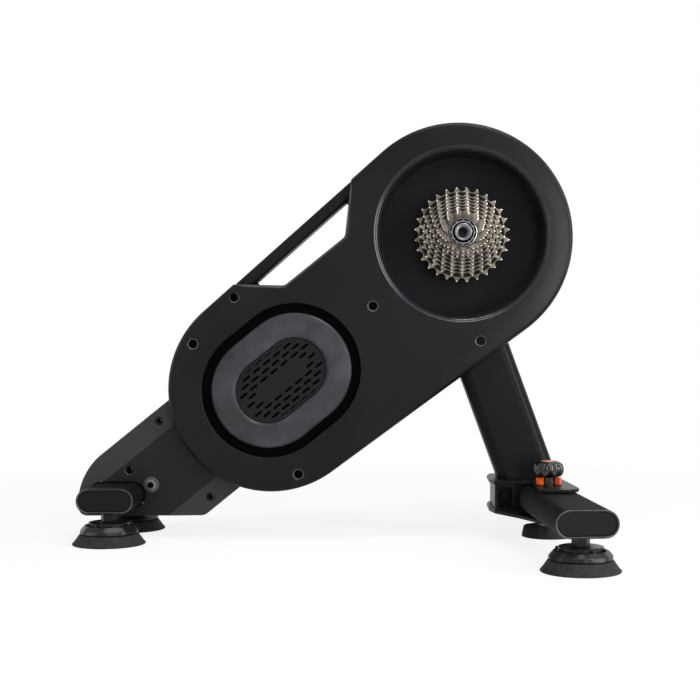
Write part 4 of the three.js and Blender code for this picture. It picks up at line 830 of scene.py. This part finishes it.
# %% Frame plate
def beam(name, section, start, end, slope=0.0, swing=-REACH):
    """A (y, t) section carried along the housing, and turned by a slope about one place on it."""
    rings = []
    for s in (start, end):
        st = np.stack([np.full(len(section), s) - swing, section[:, 1]], 1)
        st = st @ np.array([[math.cos(slope), math.sin(slope)],
                            [-math.sin(slope), math.cos(slope)]])
        flat = side_view(st + [swing, 0])
        rings.append(np.stack([flat[:, 0], section[:, 0], flat[:, 1]], 1))
    return skin(name, rings)


def rectangle(low_corner, high_corner, radius=0.0, steps=8):
    """A rectangle with rounded corners."""
    (a, b), (c, d) = low_corner, high_corner
    return filleted([(a, b, radius), (c, b, radius), (c, d, radius), (a, d, radius)], steps)


def rear_leg_outline(inset):
    """Two lines along the housing, an upright back, a level foot and rounded corners."""
    half = LEG_HALF - inset
    back, bottom = REAR_END + inset, 28 + inset
    heel = (back + half * math.sin(TILT)) / math.cos(TILT)
    shin = (bottom - AXLE + half * math.cos(TILT)) / math.sin(TILT)
    return filleted([(*place_of(-REACH, half), 0), (*place_of(heel, half), 76), (back, bottom, 11),
                     (*place_of(shin, -half), 12), (*place_of(-REACH, -half), 0)], 24)


def oval(grow, x=BAR_X, z=BAR_Z, count=96):
    """The tubes' section: 67.3 by 29.7 mm, a rectangle with half round ends."""
    return stadium((x, z), 18.8, 14.85 + grow, count)


# The photograph's handle lies 2.2 mm above its solid.
HANDLE_TOP, HANDLE_DEEP, HANDLE_WALL = 126.4, 15.5, 2.6
LEG_INSET = 2.5
HUB_BOSSES = ((hub_place, 24), (flywheel_place, 23.7))
handle_slope = math.asin(lower_slope)
grip_top = HANDLE_TOP - HANDLE_WALL - FIT
grip_low = HANDLE_TOP - HANDLE_DEEP + HANDLE_WALL + FIT
plate_from, plate_to = PLATE_NEAR - OVER, PLATE_FAR + OVER
frame_plate = plate("frame_plate_skin", side_view(housing(1.2)), PLATE_NEAR, PLATE_FAR, edge=0.5)
leg_tongue = plate("tool", rear_leg_outline(LEG_INSET), PLATE_NEAR, PLATE_FAR, edge=0.5)
carved(frame_plate, leg_tongue, way="UNION")
above_grip = notch(FIT, plate_from, plate_to)
strip = beam("tool", rectangle((plate_from, grip_top), (plate_to, 300)), -REACH, -UPPER_SHIFT,
             handle_slope)
carved(above_grip, strip, way="INTERSECT")


def under_grip(s, slant):
    """Where an end of the gap, leaning by slant for each millimetre up, meets the grip."""
    level = grip_low / math.cos(handle_slope) + (s + REACH) * lower_slope
    rise = (level - NOTCH_FLOOR) / (1 - slant * lower_slope)
    return s + slant * rise, NOTCH_FLOOR + rise


WINDOW_LEDGE = 2
rear, front = NOTCH_REAR + WINDOW_LEDGE, NOTCH_FRONT - WINDOW_LEDGE
window = [(rear, NOTCH_FLOOR - FIT, 9), (front, NOTCH_FLOOR - FIT, 9),
          (*under_grip(front, FRONT_SLANT), 5), (*under_grip(rear, -REAR_SLANT), 5)]
carved(frame_plate, above_grip, block(side_view(filleted(window, 12)), plate_from, plate_to))
carved(frame_plate, block(oval(FIT), plate_from, plate_to),
       bore(CLAMP_HOLE, plate_from, plate_to, CLAMP_PLACE, 32),
       *[bore(LEG_SCREW_HOLE, plate_from, plate_to, place, 24) for place in LEG_SCREWS],
       *[bore(COVER_SCREW_HOLE, plate_from, plate_to, place_of(*st), 24) for st in COVER_SCREWS])
for place, radius in HUB_BOSSES:
    carved(frame_plate, bore(radius, -10, 10, place), way="UNION")
    carved(frame_plate, bore(16, -13, 13, place))
dressed(frame_plate, "base", anodised, "frame_plate")

# %% [markdown]
# The handle's sleeve is a rounded box along the housing's upper side. Crossing it with a slightly
# narrower gap cuts its ends, and a second box takes out the plate's core.

# %% Carry handle
sleeve_section = rectangle((-12.5, HANDLE_TOP - HANDLE_DEEP), (17.5, HANDLE_TOP), 4)
sleeve = beam("carry_handle_skin", sleeve_section, -REACH, -UPPER_SHIFT, handle_slope)
core_section = rectangle((PLATE_NEAR - FIT, grip_low - FIT), (PLATE_FAR + FIT, grip_top + FIT))
core = beam("tool", core_section, -REACH - 5, 0, handle_slope)
carved(sleeve, notch(-0.8, NEAR, FAR), way="INTERSECT")
carved(sleeve, core)
dressed(sleeve, "base", nylon, "carry_handle")
print("handle faces", len(sleeve.data.polygons))

# %% [markdown]
# ## Rear leg
# Two aluminium castings clamp the plate. Both long edges slope back by 4 mm, and those bands are
# shot blasted and clear coated, so they look paler than the black field between them. The paler
# bands are painted by place: a dot product gives the distance across the leg.

# %% Rear leg
casting = finish("black_cast_field", "#18181a", 0.40, (1.8, 0.1, 0.1), level=0.15)
shader = casting.node_tree.nodes["Principled BSDF"]
field = shader.inputs["Base Color"].links[0].from_socket
up_across = (-math.sin(TILT), 0, math.cos(TILT))
leg_middle = (up_across[0] * axle_x + up_across[2] * AXLE) / 1000
spot = node(casting, "TexCoord").outputs["Object"]
climb = reckoned(casting, "DOT_PRODUCT", spot, up_across, kind="VectorMath", out="Value")
off_middle = reckoned(casting, "ABSOLUTE", reckoned(casting, "SUBTRACT", climb, leg_middle))
in_band = ranged(casting, off_middle, (FIELD_HALF - 0.2) / 1000, (FIELD_HALF + 0.2) / 1000)
banded = blended(casting, in_band, field, colour("#303033"))
casting.node_tree.links.new(banded, shader.inputs["Base Color"])


def rear_leg_half(name, node_name, face, seam):
    """The leg's outline, cut to a section with sloping bands, less the housing, bar and screws."""
    inward = inwards(face, seam)
    outside, inside, band = face - inward * OVER, seam + inward * OVER, face + inward * BAND_DROP
    section = filleted([(band, -LEG_HALF, 1), (face, -FIELD_HALF, 0), (face, FIELD_HALF, 0),
                        (band, LEG_HALF, 1), (seam, LEG_HALF, 0), (seam, -LEG_HALF, 0)], 5)
    body = plate(name, rear_leg_outline(0), min(face, seam), max(face, seam), edge=0.8)
    carved(body, beam("tool", section, REAR_END - REACH, 0), way="INTERSECT")
    well_floor = face + inward * LEG_RECESS
    wells = [turned("tool", [
        (0, outside), (6, outside), (6, face), (WELL_RADIUS, face + inward * 0.8),
        (WELL_RADIUS, well_floor), (LEG_SCREW_HOLE, well_floor), (LEG_SCREW_HOLE, inside),
        (0, inside)], place, count=48) for place in LEG_SCREWS]
    carved(body, bore(LOWER_RADIUS + 0.6, outside, inside, flywheel_place, 360),
           block(oval(1.6), outside, inside), *wells,
           bore(CLAMP_HOLE, outside, inside, CLAMP_PLACE, 40))
    dressed(body, "base", casting, node_name)
    x, y, z = face_places(body)
    reach, below = nearest(x, z, LEG_SCREWS), (y - face) * inward
    # Painted highlight: the wells' lips take a paler grey.
    refinished(body, painted_highlight_lip, (reach < 6.0) & (reach > 5.25) & (below < 0.9) & (below > 0.02))
    # Painted shade inside the wells.
    refinished(body, painted_shade_black, (reach < 5.25) & (below > 0.8))
    return body


rear_near = rear_leg_half("rear_leg_near_skin", "rear_leg_near", LEG_NEAR, near_seam)
rear_leg_half("rear_leg_far_skin", "rear_leg_far", LEG_FAR, far_seam)
print("rear leg faces", len(rear_near.data.polygons))

# %% [markdown]
# One bolt clamps both castings on the bar. On each side a washer lies under a hexagonal head with
# a turned chamfer and a hexagonal socket.

# %% Clamp bolt
WASHER_HIGH, HEAD_HIGH = 2, 6
shank = [(0, -22.2), (4, -22.2), (4, 27.2), (0, 27.2)]
bolt_parts = [turned("shank", shank, CLAMP_PLACE, count=32)]
for face, out in ((LEG_NEAR - FIT, -1), (LEG_FAR + FIT, 1)):
    step, top = face + out * WASHER_HIGH, face + out * HEAD_HIGH
    washer = turned("washer", [(3.9, face), (9.5, face), (9.75, face + out * 0.3),
                               (9.75, face + out * 1.6), (9.4, step), (3.9, step)],
                    CLAMP_PLACE, count=64)
    head = plate("head", circle(CLAMP_PLACE, 7.5, 6), *sorted((step, top)))
    chamfer = turned("tool", [(0, face), (10, face), (8, face + out * 4.2), (6.4, top), (0, top)],
                     CLAMP_PLACE, count=64)
    carved(head, chamfer, way="INTERSECT")
    socket = block(circle(CLAMP_PLACE, 4.1, 6), face + out * 2.4, face + out * 8)
    bolt_parts += [washer, carved(head, socket)]
clamp_bolt = gathered("rear_bar_bolt_skin", bolt_parts)
dressed(clamp_bolt, "base", chrome, "rear_bar_bolt", angle=25)
x, y, z = face_places(clamp_bolt)
reach, aside = nearest(x, z, [CLAMP_PLACE]), np.abs(y - (LEG_NEAR + LEG_FAR) / 2)
# Painted shade in the hexagonal sockets.
refinished(clamp_bolt, painted_shade_black, (reach < 4.0) & (aside > 24.5) & (aside < 30.6), 0.0001)
refinished(clamp_bolt, dark_zinc, (reach > 6) & (aside < 27), 1.0)
print("clamp bolt with washers and hexagons")

# %% [markdown]
# ## Rear bar
# An oval steel tube, powder coated, its sawn rims half metallic and paler as a painted highlight. A
# nylon plug sits 1.5 mm deep in each end. The tube's wall is one section carried round the oval.

# %% Rear bar
BAR_END, TUBE_WALL, BAR_FOOT, STUD_RADIUS = 89.4, -2.2, 64, 4.3
sawn_edge = [(0, 0), (-0.15, 0.45), (-0.6, 0.6), (-1.4, 0.6), (-1.9, 0.35), (TUBE_WALL, 0)]
wall = [(g, BAR_END + h) for g, h in sawn_edge] + [(TUBE_WALL, 70), (TUBE_WALL, -70)]
wall += [(g, -BAR_END - h) for g, h in sawn_edge[::-1]]


def bar_oval(grow):
    """The oval across the bar, fine enough for its ends."""
    return oval(grow, count=128)


rear_bar = carried("rear_bar_skin", bar_oval, wall)
carved(rear_bar, *[rod(STUD_RADIUS, 12, 53, (BAR_X, side * BAR_FOOT), 32) for side in (-1, 1)])
dressed(rear_bar, "base", leg_coat, "rear_bar")
x, y, z = face_places(rear_bar)
# Painted highlight: the sawn rims are paler.
refinished(rear_bar, rim_highlight, np.abs(y) > 89.55)
plug_section = [(-2.5, 78.6), (-2.5, 87.9), (-2.9, 88.3), (-4.5, 88.5)]
for name, side in SIDES:
    section = [(g, side * h) for g, h in plug_section]
    plug = carried(f"rear_bar_plug_{name}_skin", bar_oval, section, closed=False)
    dressed(plug, "base", nylon, f"rear_bar_plug_{name}")
print("rear bar from", -90, "to", 90, "mm")

# %% [markdown]
# ## Post and leg bracket
# The post is a rounded box tube that leans back 20 degrees into the housing. It is bolted to a
# bracket of two plates on a core, which takes the ends of the front legs between them. Thin edge
# roundings matter most here: they draw the bright lines along the plates.

# %% Post
post = skin("post_skin", [leaning(at_height(post_outline(0), h)) for h in (-28, POST_LONG)])
under_plate = plate("tool", rectangle((-60, -90), (200, 90)), -60, PLATE_TOP + FIT, lay=at_height)
carved(post, under_plate, block(side_view(housing(1.2 - FIT)), PLATE_NEAR - FIT, PLATE_FAR + FIT))
dressed(post, "base", powder_coat, "post")

# %% [markdown]
# Half of each outline is drawn and mirrored. The two plates are joined to a core, then the pockets,
# the holes of the leg bolts and the centre foot's hole are cut.

# %% Leg bracket
UPPER, LOWER = (68.85, PLATE_TOP), (34.15, 38.15)
SCREW_PLACE = (50.5, BAR_Z)
CENTRE_FOOT = (108, 0)
PIVOT = (99.5, 86)
PIVOT_HOLE = 5.3


def both_sides(half):
    """Mirrors half an outline in the trainer's middle plane."""
    return half + [(x, -y, r) for x, y, r in reversed(half) if y]


def bracket_plate(name, shoulder, heights):
    """A pressed plate with two ears for the leg bolts."""
    half = [(121, 0, 0), (133, 140, 22), (84, 140, 6), shoulder, (38, 50, 6), (33, 24, 6)]
    return plate(name, filleted(both_sides(half), 10), *heights, edge=0.9, lay=at_height)


bracket = bracket_plate("leg_bracket_skin", (81, 50, 6), UPPER)
core_outline = filleted(both_sides([(114, 46, 14), (63, 46, 0), (63, 50, 0), (38.5, 50, 6)]), 10)
carved(bracket, bracket_plate("tool", (62, 92, 6), LOWER),
       plate("tool", core_outline, LOWER[0] + 0.5, UPPER[1] - 0.5, lay=at_height), way="UNION")
pockets = []
for _, side in SIDES:
    pocket = rectangle((42.5, LOWER[1] + 3), (59, UPPER[0] - 3), 2.5, 6)
    pockets += [block(pocket, side * 36, side * 53),
                bore(3.3, side * 19.7, side * 37, SCREW_PLACE, 24),
                rod(PIVOT_HOLE, 20, 90, (PIVOT[0], side * PIVOT[1]), 40)]
pockets.append(rod(6.3, 20, LOWER[0] + 5.3, CENTRE_FOOT, 40))
carved(bracket, *pockets)
dressed(bracket, "base", powder_coat, "leg_bracket")
bracket_screws = [socket_screw(5.4, 5, 2.6, SCREW_PLACE, side * 36, side) for _, side in SIDES]
dressed(gathered("bracket_screws", bracket_screws), "base", blackened)
print("bracket faces", len(bracket.data.polygons))

# %% [markdown]
# ## Front legs
# The same oval tube as the rear bar, cut to a half round at the hinge. Each leg is drawn along its
# own axis, then turned about its bolt until it points sideways and 5.5 degrees forwards. A knob on
# the bolt presses an orange collar on the upper plate and holds the leg open.

# %% Front legs
SPLAY = math.radians(5.5)
LEG_END, FOOT_REACH = 199.4, 167


def swung(piece, side, angle):
    """Turns a piece by an angle and moves it to the leg bolt on its side."""
    return spun(piece, angle, PIVOT[0], side * PIVOT[1])


def at_reach(outline, x):
    """An end-view outline stood at a place along the leg."""
    return np.stack([np.full(len(outline), float(x)), outline[:, 0], outline[:, 1]], 1)


def leg_oval(grow):
    """The oval across the leg."""
    return oval(grow, 0, BAR_Z, 128)


leg_section = ([(0, -34), (0, LEG_END)] + [(g, LEG_END + h) for g, h in sawn_edge[1:]]
               + [(TUBE_WALL, LEG_END), (TUBE_WALL, 185)])
ROOT_RADIUS = 33.65
root = np.concatenate([arc((0, 0), ROOT_RADIUS, math.pi / 2, 3 * math.pi / 2, 96),
                       [[202, -ROOT_RADIUS], [202, ROOT_RADIUS]]])
for name, side in SIDES:
    angle = side * (math.pi / 2 - SPLAY)
    leg = carried(f"front_leg_{name}_skin", leg_oval, leg_section, closed=False, lay=at_reach)
    carved(leg, plate("tool", root, 30, 80, lay=at_height), way="INTERSECT")
    carved(leg, rod(PIVOT_HOLE, 30, 80, (0, 0), 48), rod(STUD_RADIUS, 12, 53, (FOOT_REACH, 0), 32))
    dressed(leg, f"{name}_leg", leg_coat, f"front_leg_{name}")
    x, y, z = face_places(leg)
    # Painted highlight: the sawn rim is paler.
    refinished(leg, rim_highlight, x > 199.55)
    swung(leg, side, angle)
    section = [(g, 110 + h) for g, h in plug_section]
    plug = carried(f"front_leg_plug_{name}_skin", leg_oval, section, closed=False, lay=at_reach)
    dressed(swung(plug, side, angle), f"{name}_leg", nylon, f"front_leg_plug_{name}")

# %% [markdown]
# A six-lobed knob sits on each bolt, above an orange collar that is open at one side. The lobes
# come from the absolute sine of half the lobe angle, and an orange disc fills the crown.

# %% Knobs and collars
def lobed(radius, count, depth, total, sharp=1.0):
    """A round outline that swells into lobes: the radius falls by depth times a power of the
    absolute sine of half the lobe angle."""
    turn = np.linspace(0, 2 * math.pi, total, endpoint=False)
    reach = radius - depth * np.abs(np.sin(count * turn / 2)) ** sharp
    return np.stack([reach * np.cos(turn), reach * np.sin(turn)], 1)


def knob_shape(name):
    """A six-lobed hand knob: its lobes are fattest halfway up and melt into a smooth crown."""
    rings = [at_height(lobed(7.6, 6, 0.0, 144), h) for h in (73.45, 81.6)]
    for turn in np.linspace(-1.15, 1.2, 15):
        size, height = math.cos(turn), math.sin(turn)
        radius = 11.6 + 7.2 * size ** 0.8
        rings.append(at_height(lobed(radius, 6, 3.9 * size, 144, 2.4), 91.4 + 8.4 * height))
    rings += [at_height(lobed(r, 6, 0.0, 144), h)
              for r, h in ((12.2, 99.9), (11.4, 100.5), (9.4, 100.9), (9.0, 100.5))]
    return carved(skin(name, rings), rod(5.5, 70, 97.5, (0, 0), 48))


gap_start, gap_end = math.radians(50), math.radians(310)
collar_outline = np.concatenate([arc((0, 0), 15, gap_start, gap_end, 64),
                                 arc((0, 0), 8.2, gap_end, gap_start, 64)])
disc_profile = [(0, 99.4), (8.9, 99.4), (8.9, 100.3), (8.4, 100.8), (0, 101)]
for name, side in SIDES:
    quarter = side * math.pi / 2
    collar = plate(f"lock_collar_{name}_skin", collar_outline, 73.15, 81.65, edge=0.9,
                   lay=at_height)
    dressed(swung(collar, side, quarter), f"{name}_lock", orange_nylon, f"lock_collar_{name}")
    knob = swung(knob_shape(f"lock_knob_{name}_skin"), side, quarter)
    dressed(knob, f"{name}_knob", glossy_nylon, f"lock_knob_{name}", angle=50)
    disc = turned(f"knob_disc_{name}", disc_profile, (0, 0), "Z", 64)
    dressed(swung(disc, side, quarter), f"{name}_knob", orange_nylon, slot="orange_plastic")
print("legs reach", round(PIVOT[1] + 200 * math.cos(SPLAY), 1), "mm to each side")

# %% [markdown]
# ## Levelling feet
# A rubber pad spreads from a neck to a thin rim. On it turns a nylon wheel with eight scoops for
# the fingers, eight ribs, a nut and a threaded stud. The thread is drawn as rings: the radius rises
# and falls along the stud by a saw of one pitch.

# %% Levelling feet
NUT_ACROSS, THREAD_PITCH = 17, 1.5


def pad_shape(name, x, y):
    """The pad: a profile with a hollow waist, a groove under its neck and a thin floor rim."""
    profile = [(3.4, 0), (42.2, 0), (42.9, 0.5), (43, 1.5), (42.4, 2.1), (41.3, 3.2), (39.6, 5.4),
               (37.6, 8.2), (35.9, 10.6), (35.1, 11.7), (34.2, 12.4), (33.2, 12.5), (3.4, 12.5)]
    return turned(name, profile, (x, y), "Z", 160)


def wheel_shape(name, x, y):
    """The wheel and its stud as one turning piece."""
    layers = [(32.6, 0.0, 12.8), (34.3, 0.3, 13.9), (34.3, 1.2, 16.6), (33.2, 1.8, 18.4),
              (30.0, 1.4, 21.9), (29.2, 1.0, 22.5), (26.5, 0.0, 22.5), (25.8, 0.0, 20.6),
              (24.6, 0.0, 20.4)]
    wheel = skin(name, [at_height(lobed(r, 8, d, 192, 1.3) + [x, y], h) for r, d, h in layers])
    ribs = []
    for i in range(8):
        turn = math.pi / 8 + i * math.pi / 4
        rib = plate("rib", rectangle((-1.5, 19.5), (1.5, 25)), 8, 27.6, edge=0.4)
        ribs.append(spun(rib, turn, x, y))
    disc = turned("disc", [(0, 19.5), (24, 19.5), (24, 25.9), (23.3, 26.5), (12, 26.5),
                           (11.4, 27.1), (0, 27.1)], (x, y), "Z", 96)
    nut = plate("nut", circle((x, y), NUT_ACROSS / math.sqrt(3), 6), 26.8, 35.5, lay=at_height)
    chamfer = turned("tool", [(0, 26), (8.4, 26), (10.4, 28), (10.4, 34.4), (8.7, 35.6), (0, 35.6)],
                     (x, y), "Z", 64)
    carved(nut, chamfer, way="INTERSECT")
    heights = np.arange(34.0, 60.01, THREAD_PITCH / 4)
    saw = 4.0 - 0.32 * np.abs((heights / THREAD_PITCH) % 1 * 2 - 1)
    thread = turned("thread", [(0, 33), *zip(saw, heights), (0, 60.2)], (x, y), "Z", 40)
    return carved(wheel, *ribs, disc, nut, thread, rod(3, 4, 20, (x, y), 24), way="UNION")


FEET = {f"rear_{name}": (BAR_X, side * BAR_FOOT) for name, side in SIDES}
for name, side in SIDES:
    FEET[f"front_{name}"] = (PIVOT[0] + FOOT_REACH * math.sin(SPLAY),
                             side * (PIVOT[1] + FOOT_REACH * math.cos(SPLAY)))
for name, (x, y) in FEET.items():
    pad = pad_shape(f"foot_pad_{name}_skin", x, y)
    dressed(pad, f"{name}_foot", rubber, f"foot_pad_{name}", angle=40)
    wheel = wheel_shape(f"foot_screw_{name}_skin", x, y)
    dressed(wheel, f"{name}_screw", wheel_nylon, f"foot_screw_{name}", angle=35)

# %% [markdown]
# Under the post a fifth, smaller pad keeps the bracket from sinking. It is one turned profile.

# %% Centre foot
centre_pad = turned("centre_foot_pad_skin", [
    (0, 0), (32.4, 0), (33, 0.6), (32.9, 1.4), (30.9, 11.9), (30.1, 12.8), (28.8, 13), (0, 13)],
    CENTRE_FOOT, "Z", 144)
dressed(centre_pad, "base", rubber, "centre_foot_pad", angle=40)
print("feet", list(FEET))

# %% [markdown]
# ## Sprockets
# Eleven stamped and nickel plated steel sprockets, from 28 to 11 teeth, 3.74 mm apart. A chain's
# rollers have a 12.7 mm pitch, so each outline follows from its number of teeth: round valleys
# that dip 3.8 mm below the pitch circle for the rollers, with blunt teeth between them. A few teeth
# are shorter and leaned, as on real sprockets, so that the chain climbs there.

# %% Nickel plate, with painted shade between the teeth
TEETH = [28, 25, 23, 21, 19, 17, 15, 14, 13, 12, 11]
CHAIN_PITCH = 12.7
PITCH_Y = 3.74
COG_Y = -20.8
HALF_THICK = 0.9
LAST_FACE = COG_Y - PITCH_Y * (len(TEETH) - 1) - HALF_THICK
nickel = finish("nickel_plated_steel", "#8f887d", 0.24, (1.6, 0.16, 0.2), metallic=1.0, mottle=0.2)


def pitch_radius_of(teeth):
    """Half the pitch over the sine of half a tooth's angle."""
    return CHAIN_PITCH / (2 * math.sin(math.pi / teeth))


# Which sprocket a place is on, from its depth, gives its pitch radius by a ramp of steps, in tenths
# of a metre. By the distance below it, the tips get a painted highlight and the valleys painted
# shade.
# A film of lubricant comes from noise, and painted shade darkens the lower left.
shader = nickel.node_tree.nodes["Principled BSDF"]
plated = shader.inputs["Base Color"].links[0].from_socket
spot = node(nickel, "TexCoord").outputs["Object"]
centred = node(nickel, "Mapping", {"Location": (-axle_x / 1000, 0, -AXLE / 1000),
                                   "Vector": spot}).outputs["Vector"]
flat = reckoned(nickel, "MULTIPLY", centred, (1, 0, 1), kind="VectorMath", out="Vector")
from_axis = reckoned(nickel, "LENGTH", flat, kind="VectorMath", out="Value")
depth = node(nickel, "SeparateXYZ", {"Vector": spot}).outputs["Y"]
first_gap = (COG_Y + PITCH_Y / 2) / 1000
number = ranged(nickel, depth, first_gap, first_gap - PITCH_Y * len(TEETH) / 1000)
ramp = node(nickel, "ValToRGB", {"Fac": number})
ramp.color_ramp.interpolation = "CONSTANT"
for i, teeth in enumerate(TEETH):
    share = i / len(TEETH)
    stop = ramp.color_ramp.elements[i] if i < 2 else ramp.color_ramp.elements.new(share)
    stop.position = share
    stop.color = (*[pitch_radius_of(teeth) / 100] * 3, 1)
pitch_radius = reckoned(nickel, "MULTIPLY", ramp.outputs["Color"], 0.1)
sunk = reckoned(nickel, "SUBTRACT", pitch_radius, from_axis)
dirt = node(nickel, "TexNoise", {"Scale": 38.0, "Detail": 3.0, "Roughness": 0.6, "Vector": spot})
film = ranged(nickel, dirt.outputs["Fac"], 0.35, 0.65, 0.0, 0.7)
# Painted shade: the lower left of the sprockets is darker.
lower_left = reckoned(nickel, "DOT_PRODUCT", centred, (-0.8, 0, -0.6), kind="VectorMath",
                      out="Value")
lower_left_shade = ranged(nickel, lower_left, -0.05, 0.05, 0.0, 0.35)
oil_and_shade = node(nickel, "Math", {"operation": "ADD", "use_clamp": True, 0: film, 1: lower_left_shade}).outputs[0]
# Painted highlight on the tooth tips, painted shade deep in the valleys.
tip_highlight = ranged(nickel, sunk, -0.0012, 0.0004, 1.0, 0.0)
valley_shade = ranged(nickel, sunk, 0.0039, 0.0050)
base = blended(nickel, oil_and_shade, plated, colour("#4a453e"))
base = blended(nickel, tip_highlight, base, colour("#e6dfd2"))
base = blended(nickel, valley_shade, base, colour("#1d1a17"))
nickel.node_tree.links.new(base, shader.inputs["Base Color"])

# %% [markdown]
# Each sprocket is one valley and one tooth, repeated round the pitch circle and bevelled at both
# faces. Every fifth tooth is shorter and leaned.

# %% Sprockets
VALLEY, VALLEY_OUT, TIP_OUT, TIP_HALF, FREEHUB_BORE = 4.7, 0.9, 1.7, 0.95, 17.5


def sprocket(teeth, trim):
    """One valley and one tooth, repeated round the pitch circle. The trim shortens the teeth."""
    pitch_radius = pitch_radius_of(teeth)
    step = 2 * math.pi / teeth
    u = np.linspace(-1.35, 1.35, 11)
    valley = np.stack([pitch_radius + VALLEY_OUT - VALLEY * np.cos(u), VALLEY * np.sin(u)], 1)
    index = np.arange(teeth)
    leaned = (index % 5 == 2).astype(float)
    short, lean = 0.5 * leaned, 0.4 * leaned
    turn = index * step
    rows = []
    for x, y in valley:
        rows.append((np.full(teeth, math.hypot(x, y)), np.full(teeth, math.atan2(y, x))))
    for way, lower in ((-1, 1.1), (-0.85, 0.35), (-0.35, 0), (0.35, 0), (0.85, 0.35), (1, 1.1)):
        radius = pitch_radius + TIP_OUT - trim - short - lower
        rows.append((radius, step / 2 + (way * (TIP_HALF - trim * 0.2) + lean) / radius))
    radii = np.stack([r for r, _ in rows], 1)
    turns = np.stack([a for _, a in rows], 1) + turn[:, None] + math.pi / 2
    return np.stack([radii * np.cos(turns), radii * np.sin(turns) + AXLE], -1).reshape(-1, 2)


def sprocket_group(name, node_name, first, last, spacer):
    """Sprockets and the sleeve between them, bored for the freehub."""
    pieces = []
    for i in range(first, last + 1):
        near, far = COG_Y - PITCH_Y * i - HALF_THICK, COG_Y - PITCH_Y * i + HALF_THICK
        bevels = ((0.45, near), (0.12, near + 0.2), (0.0, near + 0.45), (0.0, far - 0.45),
                  (0.45, far))
        rings = [at_depth(sprocket(TEETH[i], trim), y) for trim, y in bevels]
        pieces.append(skin("sprocket", rings))
    end = max(COG_Y - PITCH_Y * (last + 1) + 1.2, LAST_FACE)
    sleeve = bore(spacer, end, COG_Y - PITCH_Y * first, hub_place, 72)
    group = carved(sleeve, *pieces, way="UNION")
    carved(group, bore(FREEHUB_BORE, end - OVER, -16, hub_place, 72))
    group.name = name
    return dressed(group, "cassette", nickel, node_name, angle=28)


GROUPS = (("large", 0, 3, 21), ("middle", 4, 6, 21), ("small", 7, 10, 18.3))
for size, first, last, spacer in GROUPS:
    sprocket_group(f"cogs_{size}_skin", f"cogs_{size}", first, last, spacer)
print("sprockets", TEETH)

# %% [markdown]
# ## Axle ends
# A chromed lockring with twelve notches holds the sprockets. Inside it the bright end cap of the
# axle stands out, with the dark hollow of the axle in its middle. All of them are turned profiles.

# %% Axle ends
ring_end = LAST_FACE - FIT
lockring = turned("cassette_lockring_skin", [
    (13.9, ring_end), (17.3, ring_end), (17.3, ring_end - 1.5), (16.7, ring_end - 2.4),
    (15.9, ring_end - 2.5), (15.2, ring_end - 2.1), (13.9, ring_end - 1.2)], hub_place, count=144)
notches = []
for i in range(12):
    turn = i * math.pi / 6
    way = np.array([math.cos(turn), math.sin(turn)])
    side = np.array([-way[1], way[0]])
    corners = [way * r + side * w
               for r, w in ((13.2, -0.9), (15.1, -0.9), (15.1, 0.9), (13.2, 0.9))]
    notches.append(block(np.array(corners) + hub_place, ring_end - 5, ring_end + 3))
carved(lockring, gathered("tool", notches))
dressed(lockring, "cassette", chrome, "cassette_lockring", angle=25)
x, y, z = face_places(lockring)
# Painted shade on the lockring's inner faces, in the gap round the end cap.
refinished(lockring, painted_shade_black, np.hypot(x, z - AXLE) < 15.9)
# The seal takes the same painted-shade black, which darkens the gap inside the lockring.
seal = turned("freehub_seal", [(9.9, -58.2), (10.9, -58.9), (13.2, -58.9), (13.7, -58.2),
                               (13.7, -57.2), (9.9, -57.2)], hub_place)
dressed(seal, "cassette", painted_shade_black, slot="dark_plastic")
end_cap = turned("drive_end_cap_skin", [
    (5.05, -66.6), (8.2, -67.2), (9.2, -67.5), (10.2, -67.1), (10.75, -66.2), (10.75, -58.4),
    (10.3, -58), (9.7, -58), (9.7, -43), (5.05, -43)], hub_place, count=128)
dressed(end_cap, "base", chrome, "drive_end_cap", angle=25)
far_cap = turned("far_end_cap_skin", [
    (5.05, 32), (CAP_RADIUS, 32), (CAP_RADIUS, 45), (10.75, 56), (10.75, 66.7), (9.9, 67.5),
    (5.05, 67.5)], hub_place, count=128)
dressed(far_cap, "base", cast_aluminium, "far_end_cap", angle=25)
axle = turned("main_axle_skin", [
    (2.7, -72.2), (3.4, -73), (4.2, -73), (4.75, -72.4), (4.75, -42), (7.5, -42), (7.5, 31),
    (4.75, 31), (4.75, 72.4), (4.2, 73), (3.4, 73), (2.7, 72.2)], hub_place, count=64)
dressed(axle, "base", blackened, "main_axle", angle=25)
print("axle", -73, "to", 73, "mm")

# %% [markdown]
# ## Finishes of the pieces that keep their solids
# Turned, ground and wound pieces are right as they are, so they only get their finish. Most of them
# sit inside the housing, where little shows through the grille's slots and past the sprockets.

# %% Solids that stay
keep = {
    bare_steel: ["post_bolt_1", "post_bolt_2", "leg_pivot_bolt_near", "leg_pivot_bolt_far",
                 "centre_foot_stem", "hub_bearing_near", "hub_bearing_far",
                 "flywheel_bearing_near", "flywheel_bearing_far", "hub_shaft", "flywheel_shaft",
                 "flywheel_pulley", "idler_roller", "ratchet_ring"],
    cast_aluminium: ["freehub_body", "drive_pulley", "idler_arm"],
    # The flywheel's near black is painted shade behind the grille's slots.
    shade_black_iron: ["flywheel"],
    copper_wire: ["brake_stator"],
    belt_rubber: ["drive_belt"],
    board_lacquer: ["control_board"],
    nylon: ["power_inlet"],
}
for material, names in keep.items():
    for name in names:
        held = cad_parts[name]
        held.data.materials.clear()
        held.data.materials.append(material)
print("solids kept", sum(len(names) for names in keep.values()))
